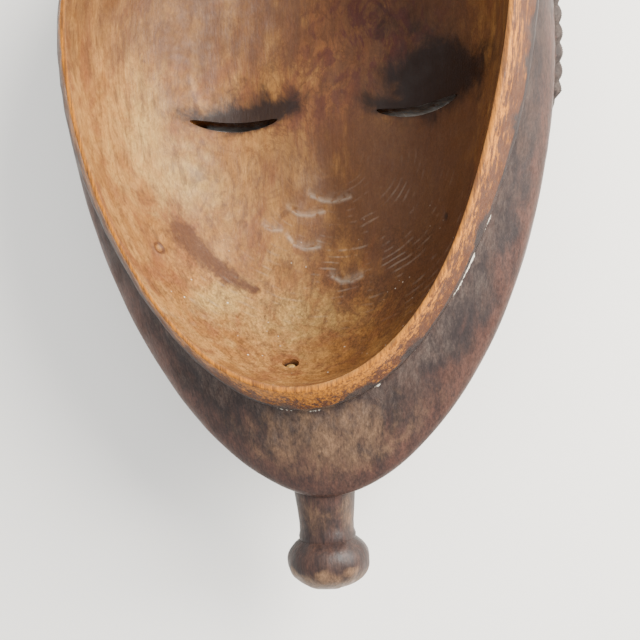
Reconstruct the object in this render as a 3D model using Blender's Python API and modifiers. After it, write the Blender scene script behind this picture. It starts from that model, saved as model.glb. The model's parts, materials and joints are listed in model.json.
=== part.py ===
"""Baule portrait mask, carved from one block of wood, lying on its face with the hollow back up.

Units are metres and +Z is up. The crown points to +Y, and the face looks down at the ground.
x is measured from the middle plane, y from the chin, and a depth is measured forward from the back rim.
"""

import math

import bmesh
import bpy
import numpy as np
from mathutils import Matrix, Vector

# Size of the whole carving
HEAD_HEIGHT = 0.282
HALF_WIDTH = 0.089
MASK_DEPTH = 0.092

# Outline of the head, an egg that is widest at this level and at this depth
WIDEST_LEVEL = 0.158
WIDEST_DEPTH = 0.026
CHIN_POINT = 1.78

# Mouth of the hollow, as margins from the widest outline
SIDE_MARGIN = 0.0132
CHIN_MARGIN = 0.043
CROWN_MARGIN = 0.020
MOUTH_POINT = 2.0
FACE_WALL = 0.012

# How the hand-cut outlines wander below the crown: waves round the outline, size, and lag in degrees
HEAD_WAVES = ((3, 0.0012, -90),)
HOLLOW_WAVES = ((2, 0.0024, 0), (3, 0.0038, -22))
WANDER_LEFT_AT_CROWN = 0.3

# Raw edge round the hollow, and the crease outside it
RIM_FLAT = 0.0016
RIM_BAND = 0.0078
RIM_BEVEL = 0.0100
RIM_LIP = 0.0013
CREASE_DEPTH = 0.0132

# Openings
SLIT_HALF_LENGTH = 0.0155
SLIT_HALF_HEIGHT = 0.0014
PEG_HOLE_RADIUS = 0.0026
PEG_HOLE_DEPTH = 0.004
PEG_HOLE_ABOVE_RIM = 0.008
PEG_HOLE_ASIDE = -0.008

# Beard, a turned stem with a knob on its end
BEARD_LEAN = math.radians(4)
BEARD_ASIDE = -0.0012
BEARD_ROOT_HEIGHT = 0.014
BEARD_ROOT_DEPTH = 0.0365
BEARD_STEM_LENGTH = 0.0285
BEARD_STEM_RADIUS = 0.0102
BEARD_KNOB_LENGTH = 0.0195
BEARD_KNOB_RADIUS = 0.0148

# Plait that edges the hair
PLAIT_RADIUS = 0.0052
PLAIT_PITCH = 0.0064
PLAIT_LET_IN = 0.0026
PLAIT_STEPS_PER_BUMP = 3
PLAIT_SIDES = 6
PLAIT_START = math.radians(-13)

# Ears, a raised curl on each side of the head
EAR_LEVEL = 0.120
EAR_DEPTH = 0.053
EAR_HALF_HEIGHT = 0.0185
EAR_HALF_WIDTH = 0.0095
EAR_CORD_RADIUS = 0.0026

# Mesh of the carving before it is thinned
SEGMENTS = 144
FACE_RINGS = 104
FLARE_RINGS = 7
RIM_RINGS = 6
HOLLOW_RINGS = 30
KEPT_SHARE = 0.135

# The carver's units: the face is drawn on a head 272 high and 92 deep, with the eyes at half its height
UNIT = HEAD_HEIGHT / 272
DEEP = MASK_DEPTH / 92
FACE_POLE = 104 * UNIT
EYE_SPREAD = 34
SLIT_LEVEL = 133.2


def smooth_step(value):
    """0 below 0, 1 above 1, and an even slope between them."""
    value = np.clip(value, 0, 1)
    return value * value * (3 - 2 * value)


def bump(across, width, along=0.0, length=1.0):
    """A round hill, 1 at its top, that fades over width and length."""
    return np.exp(-((across / width) ** 2) - (along / length) ** 2)


def joined(first, second, blend):
    """The higher of two surfaces, with a carved fillet of the given blend where they meet."""
    share = np.clip(0.5 + 0.5 * (first - second) / blend, 0, 1)
    return second + (first - second) * share + blend * share * (1 - share)


def lens(across, half_width, along, half_height, roundness=2.0):
    """A pebble on the surface, from 1 at its top to -0.25 well outside it."""
    inside = 1 - np.abs(across / half_width) ** roundness - (along / half_height) ** 2
    return np.where(inside > 0, np.sqrt(np.maximum(inside, 0)), -0.25)


class Oval:
    """An egg-shaped outline round the widest level: half an ellipse above and a more pointed one below."""

    def __init__(self, half_width, above, below, point, waves):
        self.half_width = half_width
        self.above = above
        self.below = below
        self.point = point
        self.waves = waves

    def at(self, theta):
        """The even outline."""
        cosine, sine = np.cos(theta), np.sin(theta)
        power = np.where(sine < 0, 2 / self.point, 1.0)
        height = np.where(sine < 0, self.below, self.above)
        x = self.half_width * np.sign(cosine) * np.abs(cosine) ** power
        return x, WIDEST_LEVEL + height * np.sign(sine) * np.abs(sine) ** power

    def wander(self, theta):
        """How far the hand-cut outline strays from the even one."""
        x, y = self.at(theta)
        away = np.hypot(x, y - WIDEST_LEVEL)
        stray = sum(size * np.sin(count * theta + math.radians(lag)) for count, size, lag in self.waves)
        stray = stray * (1 - (1 - WANDER_LEFT_AT_CROWN) * smooth_step((np.sin(theta) - 0.05) / 0.75))
        return x / away * stray, (y - WIDEST_LEVEL) / away * stray

    def cut(self, theta):
        """The hand-cut outline."""
        x, y = self.at(theta)
        aside, along = self.wander(theta)
        return x + aside, y + along

    def share(self, x, y):
        """0 in the middle of the widest level and 1 on the even outline."""
        below = y < WIDEST_LEVEL
        power = np.where(below, self.point, 2.0)
        height = np.where(below, self.below, self.above)
        share = np.abs(x / self.half_width) ** power + np.abs((y - WIDEST_LEVEL) / height) ** power
        return np.minimum(share ** (1 / power), 1.0)


HEAD = Oval(HALF_WIDTH, HEAD_HEIGHT - WIDEST_LEVEL, WIDEST_LEVEL, CHIN_POINT, HEAD_WAVES)
MOUTH = Oval(
    HALF_WIDTH - SIDE_MARGIN,
    HEAD_HEIGHT - WIDEST_LEVEL - CROWN_MARGIN,
    WIDEST_LEVEL - CHIN_MARGIN,
    MOUTH_POINT,
    HOLLOW_WAVES,
)


def brow_line(across):
    """Height of the brow's arch, in the carver's units."""
    return 148 + 17 * np.sin(math.pi * np.clip((across - 3) / 68, 0, 1)) ** 0.8


def slit_line(across):
    """Height of the eye slit, a shallow smile, in the carver's units."""
    return SLIT_LEVEL + 2.6 * ((across - EYE_SPREAD) / 17) ** 2


def face_depth(x, y):
    """Depth of the carved face at x and y."""
    across, up = np.abs(x) / UNIT, y / UNIT
    out = HEAD.share(x, y)
    fullness = 2.7 + 0.9 * smooth_step((up - 110) / 80)
    depth = WIDEST_DEPTH / DEEP + 47 * np.sqrt(1 - out**fullness)
    inland = smooth_step((1 - out) / 0.16)

    depth = depth + 14.5 * bump(across, 52, up - 188, 40) * inland
    depth = depth + 3.0 * bump(across - 46, 20, up - 98, 26)
    depth = depth + 7 * bump(across, 24, up - 56, 17)
    depth = depth + 7 * bump(across, 19, up - 20, 12) * inland
    depth = depth - 2 * bump(across, 15, up - 38, 4.5)

    below_brow = brow_line(across) - up
    socket = smooth_step(below_brow / 7) * np.exp(-((np.maximum(below_brow, 0) / 27) ** 2))
    depth = depth - 7.5 * socket * np.exp(-(((across - 34) / 30) ** 4))
    ridge = smooth_step((across - 5) / 8) * smooth_step((70 - across) / 22)
    depth = depth + 2.6 * bump(below_brow, 3.8) * ridge

    lid = depth - 1.6 + 9.5 * lens(across - EYE_SPREAD, 19, up - 137, 10.5, 1.8)
    depth = joined(lid, depth, 1.6)
    slit = np.exp(-(((across - EYE_SPREAD) / 17.5) ** 6))
    depth = depth - 2.2 * bump(up - slit_line(across), 1.9) * slit

    run = np.clip((154 - up) / 66, 0, 1)
    bridge = (4 + 17.6 * run**1.3) * smooth_step((up - 76) / 9) * smooth_step((168 - up) / 20)
    bridge = bridge * np.exp(-((across / (5.0 + 4.4 * run**1.5)) ** 2.6))
    depth = depth + bridge
    wing = depth - 3 + 9 * lens(across - 9.5, 6.5, up - 87, 7.5)
    depth = joined(wing, depth, 1.5)
    tip = depth - 2.0 + 5.2 * lens(across, 8, up - 88, 8)
    depth = joined(tip, depth, 2.0)

    upper_lip = depth - 1.0 + 5.2 * lens(across, 20, up - 57.6 - 0.9 * bump(across - 6, 5), 5.6, 1.7)
    lower_lip = depth - 1.0 + 5.4 * lens(across, 17.5, up - 48.6, 5.4, 1.9)
    depth = joined(joined(upper_lip, lower_lip, 0.5), depth, 0.8)

    depth = hair_depth(across, up, depth, out)
    return np.minimum(depth * DEEP, MASK_DEPTH)


def hair_depth(across, up, depth, out):
    """The hair: a thin cap behind the hairline, and three lobes that rise from it."""
    half_width = HALF_WIDTH / UNIT - 12
    hairline = np.hypot(across / half_width, (up - 136) / 86)
    cap = smooth_step((hairline - 1) * 34) * smooth_step((up - 128) / 5)
    capped = depth + 4.2 * cap * smooth_step((1 - out) / 0.05)
    middle = lobe(across, 27, up - 232, 27)
    side = lobe((across - 49) * 0.91 + (up - 204) * 0.41, 21, (up - 204) * 0.91 - (across - 49) * 0.41, 33)
    crown = joined(68 + 24.8 * middle, 68.5 + 24.3 * side, 1.5)
    return joined(crown, capped, 3.0)


def lobe(across, half_width, along, half_height):
    """A full, rounded lobe of hair, which falls away steeply outside its edge."""
    inside = 1 - (across / half_width) ** 2 - (along / half_height) ** 2
    return np.where(inside > 0, np.maximum(inside, 0) ** 0.62, inside * 3)


def hollow_depth(x, y):
    """Depth of the hollow's floor, a smooth bowl that follows the face loosely."""
    across, up = np.abs(x) / UNIT, y / UNIT
    floor = (WIDEST_DEPTH + 47 * DEEP - FACE_WALL) / DEEP
    floor = floor + 8 * bump(across, 40, up - 192, 38) + 3.5 * bump(across, 9, up - 104, 24)
    floor = floor + 3.5 * bump(across - EYE_SPREAD, 17, up - 141, 13)
    return floor * (1 - MOUTH.share(x, y) ** 3.0) ** 0.46 * DEEP


def between_outlines(theta, reach_in_metres):
    """A point outside the hollow's mouth, on the way to the widest outline."""
    outer_x, outer_y = HEAD.cut(theta)
    inner_x, inner_y = MOUTH.cut(theta)
    width = np.hypot(outer_x - inner_x, outer_y - inner_y)
    share = reach_in_metres(width) / width
    return inner_x + (outer_x - inner_x) * share, inner_y + (outer_y - inner_y) * share


def flare_point(theta, share):
    """From the widest outline, share 0, in to the crease beside the rim, share 1."""
    turn = np.cos(share * math.pi / 2)
    reach = 0.55 * turn**2 + 0.45 * turn
    x, y = between_outlines(theta, lambda width: RIM_BAND + (width - RIM_BAND) * reach)
    return x, y, WIDEST_DEPTH + (CREASE_DEPTH - WIDEST_DEPTH) * share


def rim_point(theta, place):
    """The raw edge: lip, bevelled band and the narrow flat that the mask's back ends in."""
    steps = np.arange(RIM_RINGS)
    offsets = (RIM_BAND + 0.0007, RIM_BAND + 0.0002, RIM_BAND * 0.62, RIM_FLAT * 1.4, RIM_FLAT, 0.0)
    depths = (RIM_BEVEL + RIM_LIP, RIM_BEVEL, RIM_BEVEL * 0.48, RIM_BEVEL * 0.05, 0.0, 0.0)
    offset, depth = np.interp(place, steps, offsets), np.interp(place, steps, depths)
    x, y = between_outlines(theta, lambda width: offset)
    return x, y, depth


def face_point(theta, share):
    """A point of the face, from its pole, share 0, to the widest outline, share 1."""
    spread = 1 - (1 - share) ** 1.7
    x, y = HEAD.at(theta)
    x, y = x * spread, FACE_POLE + (y - FACE_POLE) * spread
    aside, along = HEAD.wander(theta)
    return x + aside * spread**3, y + along * spread**3, face_depth(x, y)


def hollow_point(theta, share):
    """A point of the hollow, from its mouth, share 0, to the middle of its floor, share 1."""
    spread = 1 - share**1.5
    x, y = MOUTH.at(theta)
    x, y = x * spread, WIDEST_LEVEL + (y - WIDEST_LEVEL) * spread
    aside, along = MOUTH.wander(theta)
    return x + aside * spread**2, y + along * spread**2, hollow_depth(x, y)


def carved_points(ring, theta):
    """Places for the points of a round ball, whose rings run from the face's pole to the hollow's."""
    crease = FACE_RINGS + FLARE_RINGS
    mouth = crease + RIM_RINGS
    last = mouth + HOLLOW_RINGS
    zones = (
        (ring <= FACE_RINGS, face_point(theta, np.minimum(ring / FACE_RINGS, 1))),
        ((ring > FACE_RINGS) & (ring <= crease), flare_point(theta, (ring - FACE_RINGS) / FLARE_RINGS)),
        ((ring > crease) & (ring <= mouth), rim_point(theta, ring - crease - 1)),
        (ring > mouth, hollow_point(theta, np.clip((ring - mouth) / (last - mouth), 0, 1))),
    )
    points = np.zeros((len(ring), 3))
    for inside, (x, y, depth) in zones:
        here = np.stack([x, y, MASK_DEPTH - np.broadcast_to(depth, x.shape)], axis=1)
        points[inside] = here[inside]
    return points


def apply_boolean(target, operation, other):
    modifier = target.modifiers.new(operation.lower(), "BOOLEAN")
    modifier.operation = operation
    modifier.object = other
    modifier.solver = "EXACT"
    apply_modifiers(target)


def apply_modifiers(target):
    """Replaces the object's mesh by what its modifiers make of it."""
    graph = bpy.context.evaluated_depsgraph_get()
    made = bpy.data.meshes.new_from_object(target.evaluated_get(graph))
    target.modifiers.clear()
    old = target.data
    target.data = made
    bpy.data.meshes.remove(old)


def add_object(name, mesh, collection):
    made = bpy.data.objects.new(name, mesh)
    collection.objects.link(made)
    return made


def mesh_from(bm, name):
    mesh = bpy.data.meshes.new(name)
    bm.to_mesh(mesh)
    bm.free()
    return mesh


def mesh_of_curve(curve_object, name, collection):
    """The curve as a closed mesh object, in place of the curve."""
    bpy.context.view_layer.update()
    graph = bpy.context.evaluated_depsgraph_get()
    mesh = bpy.data.meshes.new_from_object(curve_object.evaluated_get(graph))
    bm = bmesh.new()
    bm.from_mesh(mesh)
    bmesh.ops.remove_doubles(bm, verts=bm.verts, dist=1e-5)
    bmesh.ops.recalc_face_normals(bm, faces=bm.faces)
    bm.to_mesh(mesh)
    bm.free()
    made = add_object(name, mesh, collection)
    made.matrix_world = curve_object.matrix_world
    bpy.data.objects.remove(curve_object)
    return made


def make_body(collection):
    """The head with its hollow: a ball whose rings are carved into face, flare, rim and hollow."""
    rings = FACE_RINGS + FLARE_RINGS + RIM_RINGS + HOLLOW_RINGS
    bm = bmesh.new()
    bmesh.ops.create_uvsphere(bm, u_segments=SEGMENTS, v_segments=rings, radius=1)
    mesh = mesh_from(bm, "mask")
    ball = np.empty(len(mesh.vertices) * 3)
    mesh.vertices.foreach_get("co", ball)
    ball = ball.reshape(-1, 3)
    ring = np.rint(np.arccos(np.clip(-ball[:, 2], -1, 1)) / math.pi * rings)
    theta = np.arctan2(ball[:, 1], ball[:, 0])
    mesh.vertices.foreach_set("co", carved_points(ring, theta).ravel())
    body = add_object("mask", mesh, collection)
    crease = FACE_RINGS + FLARE_RINGS
    free = body.vertex_groups.new(name="free")
    away_from_rim = np.flatnonzero((ring <= crease) | (ring > crease + RIM_RINGS))
    free.add(away_from_rim.tolist(), 1.0, "REPLACE")
    thinned = body.modifiers.new("thinned", "DECIMATE")
    thinned.ratio = KEPT_SHARE
    thinned.vertex_group = free.name
    apply_modifiers(body)
    body.vertex_groups.clear()
    return body


def make_beard(collection):
    """The stem and its knob, turned round one axis that leaves the chin forward and down."""
    stem, knob = BEARD_STEM_LENGTH, BEARD_KNOB_LENGTH
    profile = [
        (0, 0),
        (BEARD_STEM_RADIUS * 1.16, 0),
        (BEARD_STEM_RADIUS * 1.08, stem * 0.42),
        (BEARD_STEM_RADIUS * 0.99, stem * 0.66),
        (BEARD_STEM_RADIUS * 0.97, stem),
        (BEARD_KNOB_RADIUS * 0.80, stem + knob * 0.16),
        (BEARD_KNOB_RADIUS * 0.96, stem + knob * 0.34),
        (BEARD_KNOB_RADIUS, stem + knob * 0.50),
        (BEARD_KNOB_RADIUS * 0.93, stem + knob * 0.68),
        (BEARD_KNOB_RADIUS * 0.72, stem + knob * 0.86),
        (BEARD_KNOB_RADIUS * 0.38, stem + knob * 0.97),
        (0, stem + knob),
    ]
    bm = bmesh.new()
    points = [bm.verts.new((radius, 0, -along)) for radius, along in profile]
    for first, second in zip(points, points[1:]):
        bm.edges.new((first, second))
    beard = add_object("beard", mesh_from(bm, "beard"), collection)
    turned = beard.modifiers.new("turned", "SCREW")
    turned.steps = turned.render_steps = 20
    turned.use_merge_vertices = True
    turned.merge_threshold = 0.00005
    apply_modifiers(beard)
    lean = Matrix.Rotation(BEARD_LEAN - math.pi / 2, 4, "X")
    root = Vector((BEARD_ASIDE, BEARD_ROOT_HEIGHT, MASK_DEPTH - BEARD_ROOT_DEPTH))
    beard.matrix_world = Matrix.Translation(root) @ lean
    return beard


def plait_section(collection):
    """Two strands side by side, which the plait twists as it runs."""
    data = bpy.data.curves.new("plait_section", "CURVE")
    spline = data.splines.new("POLY")
    spline.points.add(PLAIT_SIDES - 1)
    for index in range(PLAIT_SIDES):
        turn = 2 * math.pi * index / PLAIT_SIDES
        reach = PLAIT_RADIUS * (0.84 + 0.16 * math.cos(2 * turn))
        spline.points[index].co = (reach * math.cos(turn), reach * math.sin(turn), 0, 1)
    spline.use_cyclic_u = True
    section = bpy.data.objects.new("plait_section", data)
    collection.objects.link(section)
    section.hide_render = True
    return section


def plait_route():
    """Points along the widest outline, from temple to temple over the crown, a few to each bump."""
    turns = np.linspace(PLAIT_START, math.pi - PLAIT_START, 2000)
    x, y = HEAD.cut(turns)
    along = np.concatenate([[0], np.cumsum(np.hypot(np.diff(x), np.diff(y)))])
    bumps = round(along[-1] / PLAIT_PITCH)
    marks = np.linspace(0, along[-1], bumps * PLAIT_STEPS_PER_BUMP + 1)
    return np.interp(marks, along, x), np.interp(marks, along, y)


def make_plait(collection):
    """The twisted plait that edges the hair, let into the widest outline by half its radius."""
    xs, ys = plait_route()
    data = bpy.data.curves.new("plait", "CURVE")
    data.dimensions = "3D"
    data.twist_mode = "Z_UP"
    spline = data.splines.new("POLY")
    spline.points.add(len(xs) - 1)
    height = MASK_DEPTH - WIDEST_DEPTH - PLAIT_RADIUS * 0.9
    inward = 1 - PLAIT_LET_IN / HALF_WIDTH
    for index, (x, y) in enumerate(zip(xs, ys)):
        point = spline.points[index]
        point.co = (x * inward, WIDEST_LEVEL + (y - WIDEST_LEVEL) * inward, height, 1)
        point.tilt = math.pi * index / PLAIT_STEPS_PER_BUMP
        from_end = min(index, len(xs) - 1 - index)
        point.radius = min(1.0, 0.45 + 0.2 * from_end)
    section = plait_section(collection)
    data.bevel_mode = "OBJECT"
    data.bevel_object = section
    data.use_fill_caps = True
    curve = bpy.data.objects.new("plait_line", data)
    collection.objects.link(curve)
    plait = mesh_of_curve(curve, "plait", collection)
    bpy.data.objects.remove(section)
    return plait


def wall_place(y, depth):
    """How far out the side of the head stands at y and a depth behind the cheek."""
    x = np.linspace(0.4, 1.0, 200) * HALF_WIDTH
    depths = face_depth(x, np.full_like(x, y))
    return float(np.interp(-depth, -depths, x))


def make_ear(side, collection):
    """A raised curl that lies on the side of the head, open towards the face."""
    data = bpy.data.curves.new("ear", "CURVE")
    data.dimensions = "3D"
    data.bevel_depth = EAR_CORD_RADIUS
    data.bevel_resolution = 1
    data.use_fill_caps = True
    spline = data.splines.new("POLY")
    turns = np.radians(np.linspace(-138, 152, 13))
    spline.points.add(len(turns) - 1)
    for index, turn in enumerate(turns):
        y = EAR_LEVEL + EAR_HALF_HEIGHT * math.sin(turn)
        depth = EAR_DEPTH - EAR_HALF_WIDTH * math.cos(turn)
        point = spline.points[index]
        point.co = (side * wall_place(y, depth), y, MASK_DEPTH - depth, 1)
        point.radius = 1.0 - 0.22 * math.sin(turn) + 0.18 * math.cos(turn)
    curve = bpy.data.objects.new("ear_line", data)
    collection.objects.link(curve)
    return mesh_of_curve(curve, "ear", collection)


def make_slit(side, collection):
    """Cutter for one eye slit, a thin crescent that runs right through the face."""
    bm = bmesh.new()
    bmesh.ops.create_circle(bm, cap_ends=True, segments=20, radius=1)
    for vertex in bm.verts:
        along, rise = vertex.co.x, vertex.co.y
        across = EYE_SPREAD + along * SLIT_HALF_LENGTH / UNIT
        middle = float(slit_line(across)) * UNIT
        vertex.co = (side * across * UNIT, middle + rise * SLIT_HALF_HEIGHT, -0.01)
    extruded = bmesh.ops.extrude_face_region(bm, geom=bm.faces[:])
    top = [item for item in extruded["geom"] if isinstance(item, bmesh.types.BMVert)]
    bmesh.ops.translate(bm, verts=top, vec=(0, 0, MASK_DEPTH + 0.02))
    bmesh.ops.recalc_face_normals(bm, faces=bm.faces)
    cutter = add_object("slit_cutter", mesh_from(bm, "slit_cutter"), collection)
    cutter.hide_render = True
    return cutter


def make_peg_hole(collection):
    """Cutter for the small blind hole in the hollow's wall, above the rim at the chin."""
    bm = bmesh.new()
    bmesh.ops.create_cone(
        bm,
        cap_ends=True,
        segments=12,
        radius1=PEG_HOLE_RADIUS,
        radius2=PEG_HOLE_RADIUS,
        depth=2 * PEG_HOLE_DEPTH,
    )
    y = CHIN_MARGIN + PEG_HOLE_ABOVE_RIM
    depth = float(hollow_depth(np.array([PEG_HOLE_ASIDE]), np.array([y]))[0])
    bmesh.ops.translate(bm, verts=bm.verts, vec=(PEG_HOLE_ASIDE, y, MASK_DEPTH - depth))
    cutter = add_object("peg_hole_cutter", mesh_from(bm, "peg_hole_cutter"), collection)
    cutter.hide_render = True
    return cutter


def wood():
    """Dark patinated wood."""
    material = bpy.data.materials.new("patinated_wood")
    material.use_nodes = True
    shader = material.node_tree.nodes["Principled BSDF"]
    shader.inputs["Base Color"].default_value = (0.11, 0.055, 0.035, 1)
    shader.inputs["Roughness"].default_value = 0.5
    return material


def centre_over_ground(mask):
    """Moves the mask so that the origin is under the middle of its outline."""
    points = np.empty(len(mask.data.vertices) * 3)
    mask.data.vertices.foreach_get("co", points)
    points = points.reshape(-1, 3)
    middle = (points.min(axis=0) + points.max(axis=0)) / 2
    mask.data.transform(Matrix.Translation((-middle[0], -middle[1], -points[:, 2].min())))


def main():
    for old in list(bpy.data.objects):
        bpy.data.objects.remove(old)
    parts = bpy.data.collections.new("baule_mask")
    cutters = bpy.data.collections.new("cutters")
    for collection in (parts, cutters):
        bpy.context.scene.collection.children.link(collection)

    mask = make_body(parts)
    additions = [make_beard(cutters), make_plait(cutters)]
    additions += [make_ear(side, cutters) for side in (-1, 1)]
    for addition in additions:
        apply_boolean(mask, "UNION", addition)
        bpy.data.objects.remove(addition)
    for side in (-1, 1):
        apply_boolean(mask, "DIFFERENCE", make_slit(side, cutters))
    apply_boolean(mask, "DIFFERENCE", make_peg_hole(cutters))
    centre_over_ground(mask)
    mask.data.materials.clear()
    mask.data.materials.append(wood())
    mask.data.shade_smooth()
    mask.data.set_sharp_from_angle(angle=math.radians(35))


main()
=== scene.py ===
"""Looks of a carved portrait mask that lies on its face, with its raw hollow back up.

The head is one block: a ball whose rings are pulled out into face, flaring edge, rim and hollow. A plait,
ears and a knobbed beard are joined to it, and the eye slits and a small hole are cut. Its masks of dust,
wear and stain, and of painted shade and painted glints, are painted on its points, and one wood material reads
them.
"""

import json
import math

import bmesh
import bpy
import numpy as np
from bpy.props import FloatProperty, FloatVectorProperty, IntProperty, PointerProperty
from mathutils import Matrix, Vector
from mathutils.kdtree import KDTree

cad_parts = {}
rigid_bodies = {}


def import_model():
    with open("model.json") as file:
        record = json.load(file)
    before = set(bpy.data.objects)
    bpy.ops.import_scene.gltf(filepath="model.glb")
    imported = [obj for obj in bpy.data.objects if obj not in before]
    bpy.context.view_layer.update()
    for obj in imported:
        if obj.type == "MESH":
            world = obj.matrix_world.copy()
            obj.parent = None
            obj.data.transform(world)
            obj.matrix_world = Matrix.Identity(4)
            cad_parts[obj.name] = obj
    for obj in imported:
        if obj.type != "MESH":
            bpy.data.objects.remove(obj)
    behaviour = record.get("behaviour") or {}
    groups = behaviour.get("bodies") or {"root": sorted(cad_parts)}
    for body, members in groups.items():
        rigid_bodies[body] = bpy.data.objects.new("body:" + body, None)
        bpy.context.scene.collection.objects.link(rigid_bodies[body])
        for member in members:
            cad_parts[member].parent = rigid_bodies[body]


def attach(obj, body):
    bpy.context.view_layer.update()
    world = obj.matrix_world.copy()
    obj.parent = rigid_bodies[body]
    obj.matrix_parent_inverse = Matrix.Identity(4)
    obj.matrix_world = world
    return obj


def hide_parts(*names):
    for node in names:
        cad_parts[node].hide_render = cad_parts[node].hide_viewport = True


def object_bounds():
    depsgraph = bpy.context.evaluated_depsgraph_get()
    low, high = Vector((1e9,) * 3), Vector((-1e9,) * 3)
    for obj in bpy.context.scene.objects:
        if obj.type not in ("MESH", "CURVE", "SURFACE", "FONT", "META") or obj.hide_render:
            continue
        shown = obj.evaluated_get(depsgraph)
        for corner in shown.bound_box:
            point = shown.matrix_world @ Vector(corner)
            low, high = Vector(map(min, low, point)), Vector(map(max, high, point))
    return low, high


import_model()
CAD_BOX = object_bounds()

bl_info = {
    "name": "Carved portrait mask",
    "version": (1, 0, 0),
    "blender": (4, 5, 0),
    "location": "3D View > Sidebar > Carved mask",
    "description": "Builds a carved wooden portrait mask, lying on its face",
    "category": "Add Mesh",
}

# The chin of the mask, on the ground, seen from the middle of the CAD model's box
CHIN = Vector((0.0011674, -0.1248445, 0.0))

# Marks left in the hollow, in millimetres from the chin. A line is a row of places; a patch is a place, its
# width and height, and its strength
DARK_STREAK = ((-51.5, 98.0), (-44.5, 89.0), (-35.5, 80.5), (-26.0, 74.5))
KNOT = (-56.5, 90.1)
PIT = (46.6, 96.6)
PALE_PATCHES = (
    (-37.4, 71.5, 8, 6, 1.1),
    (-8, 63, 28, 14, 0.9),
    (-64, 145, 8, 30, 0.8),
    (-52, 120, 12, 18, 0.9),
    (-33, 108, 16, 12, 0.45),
    (-22, 86, 14, 8, 0.4),
)
PALE_CHIPS = (
    ((-7.0, 110.2), (-2.5, 107.9), (3.0, 107.6), (8.1, 108.6)),
    ((-14.8, 105.2), (-12.0, 103.2), (-7.0, 102.6), (-2.5, 104.0)),
    ((-15.3, 94.6), (-13.0, 91.4), (-8.5, 89.6), (-3.9, 90.3)),
    ((1.6, 78.6), (5.0, 76.4), (9.5, 76.2), (13.4, 78.0)),
    ((-24.0, 99.0), (-21.5, 97.6), (-18.0, 97.4)),
)
BLADE_PATCHES = ((30, 90, 22, 26, 1), (-5, 84, 22, 22, 0.75), (-40, 72, 14, 12, 0.5))
PURPLE_PATCHES = ((18, 172, 30, 20, 1.3), (-12, 144, 28, 13, 0.7))
TOOL_CENTRE = (4.0, 126.0)
ARC_PITCH = 2.5
SPECKS_PER_METRE = 260
# The small hole's place from the chin and its depth, in metres
HOLE = (-0.0085, 0.0495)
HOLE_DEPTH = 0.004
# Numbers that tell the joined parts from each other on the finished mesh
HEAD, BEARD, PLAIT, EARS, HOLE_WALL = range(5)
# White bits in the crease: places and sizes, in millimetres from the chin
CHALK = ((-9.5, 30.5, 6), (2.0, 30.0, 5), (63.5, 90.5, 5), (57.5, 77.5, 4.5), (53.0, 69.5, 5), (24, 39, 3))


def length(name, description, default):
    return FloatProperty(name=name, description=description, default=default, unit="LENGTH", precision=4)


def colour(name, description, code):
    return FloatVectorProperty(
        name=name, description=description, default=linear(code), subtype="COLOR", size=3, min=0, max=1
    )


def linear(code):
    """A screen colour, such as C9A06E, in Blender's linear light."""
    parts = [int(code[i : i + 2], 16) / 255 for i in (0, 2, 4)]
    return tuple(p / 12.92 if p <= 0.04045 else ((p + 0.055) / 1.055) ** 2.4 for p in parts)


class MaskShape(bpy.types.PropertyGroup):
    """Sizes of the whole carving, which are those of the CAD model."""

    head_height: length("Head height", "From the chin to the crown", 0.282)
    half_width: length("Half width", "From the middle to the side of the head", 0.089)
    mask_depth: length("Depth", "From the rim at the back to the nose tip", 0.092)
    widest_level: length("Widest level", "Height above the chin where the head is widest", 0.158)
    widest_depth: length("Widest depth", "Depth behind the rim where the head is widest", 0.026)
    side_margin: length("Side margin", "From the hollow to the outline, at the sides", 0.0132)
    chin_margin: length("Chin margin", "From the hollow to the outline, at the chin", 0.043)
    crown_margin: length("Crown margin", "From the hollow to the outline, at the crown", 0.020)
    face_wall: length("Wall", "Thickness of the wood behind the face", 0.012)
    rim_flat: length("Rim flat", "Width of the narrow flat round the hollow", 0.0016)
    rim_band: length("Rim band", "Width of the raw band round the hollow", 0.0078)
    rim_bevel: length("Rim bevel", "Depth that the raw band falls away", 0.0100)
    crease_depth: length("Crease depth", "Depth of the crease outside the raw band", 0.0132)
    beard_lean: FloatProperty(
        name="Beard lean", description="Forward lean of the beard", default=math.radians(4), subtype="ANGLE"
    )
    beard_stem: length("Beard stem", "Length of the stem, with its root", 0.0285)
    beard_stem_radius: length("Stem radius", "Radius of the beard's stem", 0.0102)
    beard_knob: length("Beard knob", "Length of the knob", 0.0195)
    beard_knob_radius: length("Knob radius", "Radius of the knob", 0.0148)
    plait_radius: length("Plait radius", "Radius of the plait that edges the hair", 0.0052)
    plait_pitch: length("Plait pitch", "Length of one bump of the plait", 0.0064)
    plait_let_in: length("Plait let in", "How far the plait's middle lies inside the outline", 0.0026)
    hole_radius: length("Hole radius", "Radius of the small hole above the rim", 0.0026)


class MaskRelief(bpy.types.PropertyGroup):
    """Fine relief, which the CAD model leaves out."""

    segments: IntProperty(name="Segments", description="Points round the head", default=256, min=32)
    face_rings: IntProperty(name="Face rings", description="Rings of points on the face", default=70, min=16)
    hollow_rings: IntProperty(name="Hollow rings", description="Rings in the hollow", default=64, min=12)
    scoop: length("Scoops", "Depth of the broad cuts in the hollow", 0.00030)
    chatter: length("Chatter", "Height of the fine ridges that the blade left", 0.00009)
    strand: length("Strand", "Depth of the grooves between strands of hair", 0.00050)
    nub: length("Nub", "Height of the raised scars on forehead and temples", 0.0013)


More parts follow.
